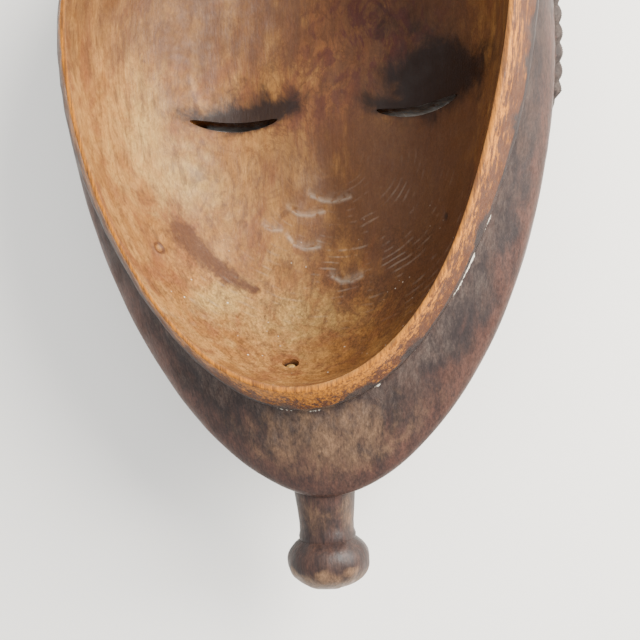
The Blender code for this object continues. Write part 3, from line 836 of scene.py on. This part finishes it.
class MASK_OT_beard(bpy.types.Operator):
    """Turns the beard: a stem that leaves the chin, with a knob on its end"""

    bl_idname = "carved_mask.beard"
    bl_label = "Beard"

    # Shares of the stem's length and radius
    STEM = ((0.06, 1.14), (0.42, 1.07), (0.66, 1.0), (0.84, 0.95), (0.94, 0.95), (1.0, 1.0))
    ROOT = 1.16
    # The knob's middle and half length, as shares of its length, and how full its curve is
    KNOB_MIDDLE, KNOB_REACH, KNOB_POWER = 0.47, 0.53, 2.1

    def execute(self, context):
        shape = context.scene.mask_shape
        deselect()
        at, wide = 0.0, shape.beard_stem_radius * self.ROOT
        bpy.ops.mesh.primitive_circle_add(vertices=72, radius=wide, fill_type="NGON")
        beard = context.object
        beard.name = beard.data.name = "beard"
        bpy.ops.object.mode_set(mode="EDIT")
        bpy.ops.mesh.select_all(action="SELECT")
        stations = [(share * shape.beard_stem, size * shape.beard_stem_radius) for share, size in self.STEM]
        for along in self.KNOB_MIDDLE - self.KNOB_REACH * np.cos(np.linspace(0.715, 3.12, 22)):
            power = self.KNOB_POWER
            radius = (1 - abs((along - self.KNOB_MIDDLE) / self.KNOB_REACH) ** power) ** (1 / power)
            stations.append((shape.beard_stem + along * shape.beard_knob, radius * shape.beard_knob_radius))
        for along, radius in stations:
            bpy.ops.mesh.extrude_region_move(TRANSFORM_OT_translate={"value": (0, 0, at - along)})
            bpy.ops.transform.resize(value=(radius / wide, radius / wide, 1))
            at, wide = along, radius
        bpy.ops.mesh.select_all(action="SELECT")
        bpy.ops.mesh.normals_make_consistent(inside=False)
        bpy.ops.object.mode_set(mode="OBJECT")
        root = Vector((-0.0012, 0.014, shape.mask_depth - 0.0365)) + CHIN
        lean = Matrix.Rotation(shape.beard_lean - math.pi / 2, 4, "X")
        beard.data.transform(Matrix.Translation(root) @ lean)
        self.roughen(beard.data)
        put_values(beard.data, "part", BEARD)
        return {"FINISHED"}

    def roughen(self, mesh):
        """Gives the turned shape the slight facets of a knife."""
        mesh.update()
        places, normals = coordinates(mesh), coordinates(mesh, field="normal")
        height = 0.00018 * ripples(places * 1000, 9, 41) + 0.00007 * ripples(places * 1000, 4, 42)
        mesh.vertices.foreach_set("co", (places + normals * height[:, None]).ravel())
        mesh.update()


class MASK_OT_plait(bpy.types.Operator):
    """Twists the plait that edges the hair, from temple to temple over the crown"""

    bl_idname = "carved_mask.plait"
    bl_label = "Plait"

    START = math.radians(-13)
    SIDES = 20
    STEPS = 8

    def execute(self, context):
        carving = Carving(context.scene)
        shape = carving.shape
        turns = np.linspace(self.START, math.pi - self.START, 3000)
        x, y = carving.head.cut(turns)
        inward = 1 - shape.plait_let_in / shape.half_width
        x, y = x * inward, shape.widest_level + (y - shape.widest_level) * inward
        along = np.concatenate([[0], np.cumsum(np.hypot(np.diff(x), np.diff(y)))])
        bumps = round(along[-1] / shape.plait_pitch)
        marks = np.linspace(0, along[-1], bumps * self.STEPS + 1)
        xs, ys = np.interp(marks, along, x), np.interp(marks, along, y)

        section_data = bpy.data.curves.new("plait_section", "CURVE")
        section = bpy.data.objects.new("plait_section", section_data)
        context.scene.collection.objects.link(section)
        outline = section_data.splines.new("POLY")
        outline.points.add(self.SIDES - 1)
        for index in range(self.SIDES):
            turn = 2 * math.pi * index / self.SIDES
            strand = 0.19 * abs(math.cos(turn)) + math.sqrt(0.80**2 - (0.19 * math.sin(turn)) ** 2)
            reach = shape.plait_radius * strand
            outline.points[index].co = (reach * math.cos(turn), reach * math.sin(turn), 0, 1)
        outline.use_cyclic_u = True

        data = bpy.data.curves.new("plait", "CURVE")
        data.dimensions = "3D"
        data.twist_mode = "Z_UP"
        data.bevel_mode = "OBJECT"
        data.bevel_object = section
        data.use_fill_caps = True
        line = data.splines.new("POLY")
        line.points.add(len(xs) - 1)
        height = shape.mask_depth - shape.widest_depth - shape.plait_radius * 0.9
        for index, point in enumerate(line.points):
            point.co = (xs[index] + CHIN.x, ys[index] + CHIN.y, height, 1)
            point.tilt = math.pi * index / self.STEPS
            from_end = min(index, len(xs) - 1 - index) / self.STEPS
            point.radius = min(1.0, 0.45 + 0.55 * from_end)
        plait = bpy.data.objects.new("plait", data)
        context.scene.collection.objects.link(plait)
        only(plait)
        bpy.ops.object.convert(target="MESH")
        plait = context.object
        bpy.data.objects.remove(section)
        close_up(plait)
        put_values(plait.data, "part", PLAIT)
        return {"FINISHED"}


class MASK_OT_ears(bpy.types.Operator):
    """Bends a raised curl for each ear, flat on the side of the head"""

    bl_idname = "carved_mask.ears"
    bl_label = "Ears"

    def execute(self, context):
        carving = Carving(context.scene)
        ears = [self.curl(carving, side, context.scene) for side in (-1, 1)]
        deselect()
        for ear in ears:
            ear.select_set(True)
        context.view_layer.objects.active = ears[0]
        bpy.ops.object.join()
        context.object.name = context.object.data.name = "ears"
        put_values(context.object.data, "part", EARS)
        return {"FINISHED"}

    def curl(self, carving, side, scene):
        """One ear, a cord that thickens towards the lobe."""
        shape = carving.shape
        data = bpy.data.curves.new("ear", "CURVE")
        data.dimensions = "3D"
        data.bevel_depth = 0.0026
        data.bevel_resolution = 4
        data.use_fill_caps = True
        line = data.splines.new("POLY")
        turns = np.radians(np.linspace(-138, 152, 44))
        line.points.add(len(turns) - 1)
        out = np.linspace(0.4, 1.0, 400) * shape.half_width
        for index, turn in enumerate(turns):
            y = 0.120 + 0.0185 * math.sin(turn)
            depth = 0.053 - 0.0095 * math.cos(turn)
            depths = carving.face_depth(out, np.full_like(out, y))
            x = float(np.interp(-depth, -depths, out))
            line.points[index].co = (side * x + CHIN.x, y + CHIN.y, shape.mask_depth - depth, 1)
            ends = min(1.0, 0.55 + 0.15 * min(index, len(turns) - 1 - index))
            line.points[index].radius = ends * (1.0 - 0.22 * math.sin(turn) + 0.18 * math.cos(turn))
        ear = bpy.data.objects.new("ear", data)
        scene.collection.objects.link(ear)
        only(ear)
        bpy.ops.object.convert(target="MESH")
        close_up(bpy.context.object)
        return bpy.context.object


def close_up(piece):
    """Merges doubles and turns every face of a closed piece outward."""
    only(piece)
    bpy.ops.object.mode_set(mode="EDIT")
    bpy.ops.mesh.select_all(action="SELECT")
    bpy.ops.mesh.remove_doubles(threshold=0.00001)
    bpy.ops.mesh.normals_make_consistent(inside=False)
    bpy.ops.object.mode_set(mode="OBJECT")


class MASK_OT_join(bpy.types.Operator):
    """Joins beard, plait and ears to the head as one block, then cuts the eye slits and the small hole"""

    bl_idname = "carved_mask.join"
    bl_label = "Join and cut"

    # The hole's floor from its edge inward: inset as a share of the radius, rise as one of the depth, and shift
    FLOOR = ((0.20, 0.0, 0.0003), (0.10, 0.62, 0.0001), (0.2, 0.16, 0), (0.24, 0.08, 0))

    def execute(self, context):
        carving = Carving(context.scene)
        objects = bpy.data.objects
        mask = objects["carved_mask"]
        hole = self.hole(context, carving, mask)
        pieces = [mask.data, hole.data] + [objects[name].data for name in ("beard", "plait", "ears")]
        old = np.concatenate([coordinates(mesh) for mesh in pieces])
        values = {name: np.concatenate([get_values(mesh, name) for mesh in pieces]) for name in STORED}
        for name in ("beard", "plait", "ears"):
            cut_with(mask, objects[name], "UNION")
        for side in (-1, 1):
            cut_with(mask, self.slit(context, carving, side), "DIFFERENCE")
        cut_with(mask, hole, "DIFFERENCE")
        nearest = nearest_points(old, coordinates(mask.data))
        for name, value in values.items():
            put_values(mask.data, name, value[nearest])
        mask.data.vertices.foreach_set("co", np.clip(coordinates(mask.data), *CAD_BOX).ravel())
        only(mask)
        bpy.ops.object.shade_smooth_by_angle(angle=math.radians(48))
        return {"FINISHED"}

    def slit(self, context, carving, side):
        """A thin crescent through the eye, wider in the hollow than on the face."""
        deselect()
        bpy.ops.mesh.primitive_circle_add(vertices=48, radius=1, fill_type="NGON", location=(0, 0, 0))
        slit = context.object
        bpy.ops.object.mode_set(mode="EDIT")
        bpy.ops.mesh.select_all(action="SELECT")
        bpy.ops.mesh.extrude_region_move(TRANSFORM_OT_translate={"value": (0, 0, 1)})
        bpy.ops.object.mode_set(mode="OBJECT")
        points = coordinates(slit.data)
        in_hollow = points[:, 2] > 0.5
        half_length = np.where(in_hollow, 0.0165, 0.0148)
        half_height = np.where(in_hollow, 0.0024, 0.00094)
        across = carving.EYE_SPREAD + points[:, 0] * half_length / carving.unit
        y = carving.slit_line(across) * carving.unit + points[:, 1] * half_height
        y = y + np.where(in_hollow, 0.0012, 0.0)
        depth = np.where(in_hollow, 0.046, 0.092)
        spots = np.stack([side * across * carving.unit, y, depth], axis=1)
        slit.data.vertices.foreach_set("co", in_world(carving, spots).ravel())
        close_up(slit)
        return slit

    def hole(self, context, carving, mask):
        """The small blind hole near the chin, square to the hollow's wall, with a broken stump in it."""
        x, y, step = HOLE[0], HOLE[1], 0.0005
        steps = np.array([[x, y], [x + step, y], [x, y + step]])
        depth, aside, along = (float(value) for value in carving.hollow_depth(steps[:, 0], steps[:, 1]))
        outward = Vector(((aside - depth) / step, (along - depth) / step, 1)).normalized()
        place = Vector((x, y, carving.shape.mask_depth - depth)) + CHIN
        found, place, outward, _ = mask.ray_cast(place + outward * 0.012, -outward)
        if not found:
            raise RuntimeError("The wall for the small hole was not found")
        radius = carving.shape.hole_radius * 1.15
        deselect()
        bpy.ops.mesh.primitive_circle_add(vertices=36, radius=radius, fill_type="NGON", location=(0, 0, 0))
        hole = context.object
        bpy.ops.object.mode_set(mode="EDIT")
        bpy.ops.mesh.select_mode(type="FACE")
        bpy.ops.mesh.select_all(action="SELECT")
        bpy.ops.mesh.flip_normals()
        bpy.ops.mesh.extrude_region_move(TRANSFORM_OT_translate={"value": (0, 0, -HOLE_DEPTH)})
        for inset, rise, aside in self.FLOOR:
            bpy.ops.mesh.inset(thickness=radius * inset)
            bpy.ops.transform.translate(value=(-aside, aside, rise * HOLE_DEPTH))
        bpy.ops.mesh.select_all(action="DESELECT")
        bpy.ops.object.mode_set(mode="OBJECT")
        for vertex in hole.data.vertices:
            if vertex.co.z > -0.0001:
                vertex.co.z = 0.004
        heights = coordinates(hole.data)[:, 2]
        put_values(hole.data, "part", HOLE_WALL)
        put_values(hole.data, "ring", carving.rings)
        put_values(hole.data, "groove", (heights > -0.9 * HOLE_DEPTH) & (heights < 0))
        turned = outward.to_track_quat("Z", "Y").to_matrix().to_4x4()
        hole.data.transform(Matrix.Translation(place) @ turned)
        close_up(hole)
        return hole


class Nodes:
    """A short way to write a material's nodes."""

    def __init__(self, material):
        material.use_nodes = True
        self.tree = material.node_tree
        self.tree.nodes.clear()
        self.place = self.new("ShaderNodeTexCoord").outputs["Object"]

    def new(self, kind, **settings):
        node = self.tree.nodes.new(kind)
        for name, value in settings.items():
            setattr(node, name, value)
        return node

    def put(self, socket, value):
        if isinstance(value, bpy.types.NodeSocket):
            self.tree.links.new(value, socket)
        elif isinstance(value, (tuple, list)) or hasattr(value, "__len__"):
            socket.default_value = (*value, 1.0)[: len(socket.default_value)]
        else:
            socket.default_value = value

    def paint(self, name):
        return self.new("ShaderNodeAttribute", attribute_name=name).outputs["Fac"]

    def mapped(self, stretch):
        """The place, squeezed along the axes whose share is below 1, which draws clouds out along them."""
        node = self.new("ShaderNodeMapping")
        self.put(node.inputs["Vector"], self.place)
        node.inputs["Scale"].default_value = stretch
        return node.outputs["Vector"]

    def noise(self, millimetres, stretch=(1, 1, 1), detail=3, roughness=0.55, warp=0.0, shift=0.0):
        """Cloudy values round 0.5, with features of the given size."""
        node = self.new("ShaderNodeTexNoise", noise_dimensions="4D")
        self.put(node.inputs["Vector"], self.mapped(stretch))
        node.inputs["W"].default_value = shift
        node.inputs["Scale"].default_value = 1000 / millimetres
        node.inputs["Detail"].default_value = detail
        node.inputs["Roughness"].default_value = roughness
        node.inputs["Distortion"].default_value = warp
        return node.outputs["Fac"]

    def math(self, operation, first, second=0.0):
        node = self.new("ShaderNodeMath", operation=operation)
        for socket, value in zip(node.inputs, (first, second)):
            self.put(socket, value)
        return node.outputs["Value"]

    def between(self, value, low, high, low_out=0.0, high_out=1.0):
        """The value's place between low and high, smoothed, as a number between the two outs."""
        node = self.new("ShaderNodeMapRange", interpolation_type="SMOOTHSTEP")
        for name, number in (
            ("Value", value), ("From Min", low), ("From Max", high), ("To Min", low_out), ("To Max", high_out)
        ):
            self.put(node.inputs[name], number)
        return node.outputs["Result"]

    def mix(self, share, first, second):
        node = self.new("ShaderNodeMix", data_type="RGBA")
        self.put(node.inputs["Factor"], share)
        self.put(node.inputs[6], first)
        self.put(node.inputs[7], second)
        return node.outputs[2]

    def vector(self, operation, first, second):
        """One step of vector arithmetic; the second is three numbers, or a value that scales the first."""
        node = self.new("ShaderNodeVectorMath", operation=operation)
        self.put(node.inputs[0], first)
        self.put(node.inputs["Scale" if operation == "SCALE" else 1], second)
        return node.outputs["Value" if operation == "LENGTH" else "Vector"]

    def scaled(self, colour, amount):
        """The colour, darker below an amount of 1 and brighter above it."""
        return self.vector("SCALE", colour, amount)

    def times(self, first, second):
        return self.math("MULTIPLY", first, second)

    def plus(self, first, second):
        return self.math("ADD", first, second)

    def ragged(self, mask, amount, *size, **more):
        """A mask whose edge is torn by clouds, which add up to half the amount to it or take that away."""
        return self.plus(mask, self.times(self.plus(self.noise(*size, **more), -0.5), amount))

    def over(self, colour, top, mask, low, high, most=1.0):
        """The colour with another on top, from none where the mask is low to most where it is high."""
        return self.mix(self.between(mask, low, high, 0, most), colour, top)


class MASK_OT_finish(bpy.types.Operator):
    """Gives the mask its wood: raw and stained inside, with painted shade, painted highlights and glints,
    honey-coloured on the rim, dark and dusty outside
    """

    bl_idname = "carved_mask.finish"
    bl_label = "Wood"

    def execute(self, context):
        carving = Carving(context.scene)
        mask = bpy.data.objects["carved_mask"]
        mesh = mask.data
        points = on_carving(carving, coordinates(mesh))
        stored = [get_values(mesh, name) for name in STORED]
        for name, values in carving.paint(*stored, points).items():
            put_values(mesh, name, values)
        colours = context.scene.mask_colours
        material = bpy.data.materials.new("carved_wood")
        n = Nodes(material)
        masks = {name: n.paint(name) for name in PAINTS}

        raw = n.between(n.ragged(masks["raw"], 0.9, 2.5, shift=7), 0.25, 0.75)
        colour = n.mix(raw, self.outside(n, colours, masks), self.rim(n, colours, masks))
        colour = n.mix(masks["hollow"], colour, self.inside(n, colours, masks))
        chalky = n.times(masks["chalk"], n.noise(1.3, (1, 0.5, 1), 5, 0.75, shift=9))
        colour = n.over(colour, colours.chalk, chalky, 0.24, 0.32)

        wood = n.new("ShaderNodeBsdfPrincipled")
        n.put(wood.inputs["Base Color"], colour)
        n.put(wood.inputs["Roughness"], self.roughness(n, masks, raw))
        n.put(wood.inputs["Normal"], self.bumps(n, masks))
        wood.inputs["Specular IOR Level"].default_value = 0.22
        output = n.new("ShaderNodeOutputMaterial")
        n.put(output.inputs["Surface"], wood.outputs["BSDF"])

        mesh.materials.clear()
        mesh.materials.append(material)
        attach(mask, "root")
        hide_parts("mask")
        return {"FINISHED"}

    def inside(self, n, c, masks):
        """Raw wood of the hollow: tan, with oiled, dusty, reddish and dark patches, painted shade towards the
        right, the crown and in the eye slits and the small hole, and painted highlights and glints.
        """
        colour = n.over(c.tan, c.ochre, n.noise(18, (1, 0.4, 1), 6, 0.66, 1.2, shift=1), 0.42, 0.58)
        red = n.plus(n.noise(22, (1, 0.4, 1), 7, 0.68, 2.0, shift=2), n.times(masks["flush"], 0.12))
        colour = n.over(colour, c.russet, red, 0.46, 0.64, 0.9)
        dusty = n.ragged(masks["pale"], 2.4, 9, (1, 0.6, 1), 6, 0.7, 0.8, shift=3)
        colour = n.over(colour, c.pale, dusty, 0.20, 1.4, 0.9)
        # Painted shade, with some brown stain, in umber
        dark = n.ragged(masks["shade"], 2.0, 14, (1, 0.35, 1), 7, 0.7, 1.6, shift=4)
        colour = n.over(colour, c.umber, dark, 0.05, 1.25, 0.92)
        colour = n.over(colour, c.umber, n.noise(8, (1, 0.3, 1), 6, 0.62, 2.8, shift=8), 0.50, 0.64, 0.5)

        old_red = n.mix(0.6, c.russet, c.stain)
        fold = n.math("ABSOLUTE", n.plus(n.noise(15, (1, 0.6, 1), 4, 0.6, 3.5, shift=18), -0.52))
        swirls = n.times(n.between(fold, 0.05, 0.0), n.plus(n.times(masks["flush"], 0.5), 0.25))
        colour = n.mix(swirls, colour, old_red)
        clouds = n.between(n.noise(13, (1, 0.7, 1), 7, 0.62, 2.4, shift=19), 0.40, 0.56)
        colour = n.over(colour, c.mulberry, n.times(masks["flush"], clouds), 0.1, 1.1, 0.85)
        streak = n.ragged(masks["streak"], 1.4, 3, detail=5, shift=5)
        colour = n.over(colour, old_red, streak, 0.25, 0.85, 0.95)

        grain = n.noise(1.0, (1, 0.07, 1), 5, 0.7, shift=11)
        colour = n.over(colour, c.umber, grain, 0.46, 0.68, 0.35)
        grit = n.noise(0.9, (1, 0.75, 1), 4, 0.8, shift=12)
        coarse, soft = n.between(grit, 0.34, 0.64, 1.30, 0.5), n.between(grit, 0.34, 0.64, 1.06, 0.92)
        share = n.plus(n.times(masks["low"], 0.55), 0.1)
        rough = n.plus(n.times(coarse, share), n.times(soft, n.math("SUBTRACT", 1.0, share)))
        colour = n.scaled(colour, rough)

        # Dark blots, and painted shade in the eye slits and the small hole, in stain
        soot = n.ragged(masks["soot"], 2.0, 11, (1, 0.8, 1), 7, 0.66, 0.6, shift=6)
        colour = n.over(colour, c.stain, soot, 0.3, 1.1, 0.96)
        # Painted highlight on the crests of the blade's arcs
        colour = n.mix(n.times(self.blade_marks(n, masks), 0.13), colour, c.chalk)
        chips = n.times(masks["chips"], n.between(n.noise(2.5, detail=3, shift=14), 0.30, 0.55))
        colour = n.mix(n.times(chips, 0.17), colour, c.chalk)
        # Painted glints
        return n.mix(self.specks(n, masks), colour, c.chalk)

    def blade_marks(self, n, masks):
        """Arcs that the blade left, in patches round one centre; the bumps use them, and the colour uses them as
        a painted highlight on their crests.
        """
        middle = Vector((TOOL_CENTRE[0] / 1000, TOOL_CENTRE[1] / 1000, 0)) + CHIN
        flat = n.vector("MULTIPLY", n.vector("SUBTRACT", n.place, tuple(middle)), (1, 1, 0))
        away = n.vector("LENGTH", flat, (0, 0, 0))
        waver = n.times(n.noise(22, detail=2, shift=15), 14)
        turns = n.plus(n.times(away, 1000 * 2 * math.pi / ARC_PITCH), waver)
        lines = n.between(n.math("SINE", turns), 0.2, 1.0)
        broken = n.between(n.noise(8, detail=4, roughness=0.6, shift=16), 0.48, 0.66)
        return n.times(n.times(lines, broken), masks["blade"])

    def specks(self, n, masks):
        """Sparse, tiny painted glints of resin and sand: pale dots in the colour."""
        cells = n.new("ShaderNodeTexVoronoi", feature="F1")
        n.put(cells.inputs["Vector"], n.mapped((1, 1, 1)))
        cells.inputs["Scale"].default_value = SPECKS_PER_METRE
        dots = n.between(cells.outputs["Distance"], 0.11, 0.06)
        chosen = n.between(n.noise(12, detail=3, shift=17), 0.46, 0.55)
        return n.times(n.times(dots, chosen), n.times(masks["low"], 0.8))

    def rim(self, n, c, masks):
        """Bare wood: honey-coloured beside the hollow, rusty at its outer edge, with long streaks."""
        inner = n.ragged(masks["edge"], 1.3, 3.0, (1, 0.16, 1), 6, 0.7, 0.4, shift=25)
        streaks = n.between(n.noise(1.5, (1, 0.05, 1), 6, 0.72, shift=21), 0.38, 0.60, -0.30, 0.62)
        colour = n.over(c.honey, c.rust, n.plus(n.between(inner, -0.1, 1.0, 1.0, 0.0), streaks), 0.0, 1.0)
        pores = n.noise(0.8, (1, 0.06, 1), 5, 0.76, shift=22)
        colour = n.over(colour, c.umber, pores, 0.47, 0.62, 0.8)
        stipple = n.noise(0.8, (1, 0.5, 1), 4, 0.8, shift=26)
        return n.scaled(colour, n.between(stipple, 0.36, 0.64, 1.15, 0.75))

    def outside(self, n, c, masks):
        """Dark patina with a reddish bulge, grey dust in the hollows and bare wood on the high places."""
        clouds = n.noise(7, (1, 0.3, 1), 7, 0.72, 0.6, shift=31)
        colour = n.over(c.patina, c.plum, clouds, 0.36, 0.60)
        red = n.ragged(masks["brick"], 3.0, 4, (1, 0.25, 1), 7, 0.76, 0.5, shift=32)
        colour = n.over(colour, c.brick, red, 0.2, 1.8, 0.9)
        colour = n.over(colour, c.black, masks["hair"], 0.2, 0.9, 0.85)
        dust = n.ragged(masks["dust"], 3.2, 2.6, (1, 0.35, 1), 7, 0.8, 0.4, shift=33)
        colour = n.over(colour, c.dust, dust, 0.5, 2.0, 0.8)
        worn = n.ragged(masks["worn"], 1.8, 6, (1, 0.65, 1), 7, 0.66, 0.5, shift=34)
        colour = n.over(colour, c.worn, worn, 0.30, 1.4, 0.85)
        pores = n.noise(0.8, (1, 0.10, 1), 5, 0.76, shift=35)
        colour = n.over(colour, c.plum, pores, 0.48, 0.66, 0.6)
        stipple = n.noise(0.8, (1, 0.5, 1), 5, 0.82, shift=36)
        return n.scaled(colour, n.between(stipple, 0.36, 0.64, 0.75, 1.3))

    def roughness(self, n, masks, raw):
        """Waxy outside, drier where it is raw or dusty."""
        outside = n.between(n.noise(6, detail=3, shift=41), 0.3, 0.7, 0.34, 0.52)
        outside = n.plus(outside, n.times(masks["dust"], 0.28))
        bare = n.between(n.noise(5, detail=3, shift=42), 0.3, 0.7, 0.46, 0.66)
        share = n.math("MAXIMUM", raw, masks["hollow"])
        return n.plus(n.times(outside, n.math("SUBTRACT", 1.0, share)), n.times(bare, share))

    def bumps(self, n, masks):
        """Pores, grain and blade marks too fine for the mesh."""
        fine = n.noise(0.8, (1, 0.4, 1), 3, 0.65, shift=12)
        long_grain = n.noise(1.1, (1, 0.10, 1), 3, 0.6, shift=35)
        height = n.plus(n.times(fine, 0.5), n.times(long_grain, 0.6))
        height = n.plus(height, n.times(self.blade_marks(n, masks), 0.5))
        bumpy = n.new("ShaderNodeBump")
        bumpy.inputs["Strength"].default_value = 0.7
        bumpy.inputs["Distance"].default_value = 0.0003
        n.put(bumpy.inputs["Height"], height)
        return bumpy.outputs["Normal"]


class MASK_OT_stage(bpy.types.Operator):
    """Sets the pale floor, the soft light and the camera over the hollow back"""

    bl_idname = "carved_mask.stage"
    bl_label = "Stage"

    # The camera's place from the chin, and its three directions
    CAMERA = (0.0961951, 0.0490987, 0.4654928)
    RIGHT = (0.9723, -0.0442, -0.2296)
    UP = (0.0501, 0.9985, 0.0199)

    def execute(self, context):
        stage = context.scene.mask_stage
        deselect()
        bpy.ops.mesh.primitive_plane_add(size=stage.floor, location=(0, 0, 0))
        floor = context.object
        floor.name = floor.data.name = "floor"
        pale = bpy.data.materials.new("pale_floor")
        pale.use_nodes = True
        surface = pale.node_tree.nodes["Principled BSDF"]
        surface.inputs["Base Color"].default_value = (*stage.floor_colour, 1)
        surface.inputs["Roughness"].default_value = 0.7
        floor.data.materials.append(pale)

        self.window(stage, Vector((0.86, 0.36, 0.64)))
        world = bpy.data.worlds.new("even_light")
        context.scene.world = world
        world.use_nodes = True
        background = world.node_tree.nodes["Background"]
        background.inputs["Color"].default_value = (0.93, 0.94, 0.96, 1)
        background.inputs["Strength"].default_value = stage.sky
        self.camera(context, stage)
        return {"FINISHED"}

    def window(self, stage, place):
        """The main light, on the right and towards the crown."""
        bpy.ops.object.light_add(type="AREA", location=place)
        light = bpy.context.object
        light.name = light.data.name = "window"
        light.data.shape = "DISK"
        light.data.size = stage.window_size
        light.data.energy = stage.window_power
        light.data.color = (1.0, 0.97, 0.92)
        aim = Vector((0.0, 0.0, 0.05)) - place
        light.rotation_euler = aim.to_track_quat("-Z", "Y").to_euler()

    def camera(self, context, stage):
        place = Vector(self.CAMERA) + CHIN
        right, up = Vector(self.RIGHT).normalized(), Vector(self.UP)
        back = right.cross(up).normalized()
        up = back.cross(right)
        bpy.ops.object.camera_add()
        camera = context.object
        camera.name = camera.data.name = "camera"
        turned = Matrix((right, up, back)).transposed().to_4x4()
        camera.matrix_world = Matrix.Translation(place) @ turned
        camera.data.sensor_width = 36
        camera.data.lens = stage.focal_length
        camera.data.clip_start = 0.01
        context.scene.camera = camera


class MASK_PT_panel(bpy.types.Panel):
    """Lists the steps of the carving"""

    bl_idname = "MASK_PT_panel"
    bl_label = "Carved mask"
    bl_space_type = "VIEW_3D"
    bl_region_type = "UI"
    bl_category = "Carved mask"

    def draw(self, context):
        for step in STEPS:
            self.layout.operator(step.bl_idname)
        for name in SETTINGS:
            group = getattr(context.scene, name)
            box = self.layout.box()
            for field in group.bl_rna.properties:
                if field.identifier not in ("rna_type", "name"):
                    box.prop(group, field.identifier)


STEPS = (
    MASK_OT_head, MASK_OT_beard, MASK_OT_plait, MASK_OT_ears, MASK_OT_join, MASK_OT_finish, MASK_OT_stage,
)
SETTINGS = {
    "mask_shape": MaskShape,
    "mask_relief": MaskRelief,
    "mask_colours": MaskColours,
    "mask_stage": MaskStage,
}


def register():
    for group in SETTINGS.values():
        bpy.utils.register_class(group)
    for step in (*STEPS, MASK_PT_panel):
        bpy.utils.register_class(step)
    for name, group in SETTINGS.items():
        setattr(bpy.types.Scene, name, PointerProperty(type=group))


def unregister():
    for name in SETTINGS:
        delattr(bpy.types.Scene, name)
    for step in (MASK_PT_panel, *reversed(STEPS)):
        bpy.utils.unregister_class(step)
    for group in SETTINGS.values():
        bpy.utils.unregister_class(group)


def main():
    register()
    for step in STEPS:
        group, name = step.bl_idname.split(".")
        getattr(getattr(bpy.ops, group), name)()


if __name__ == "__main__":
    main()
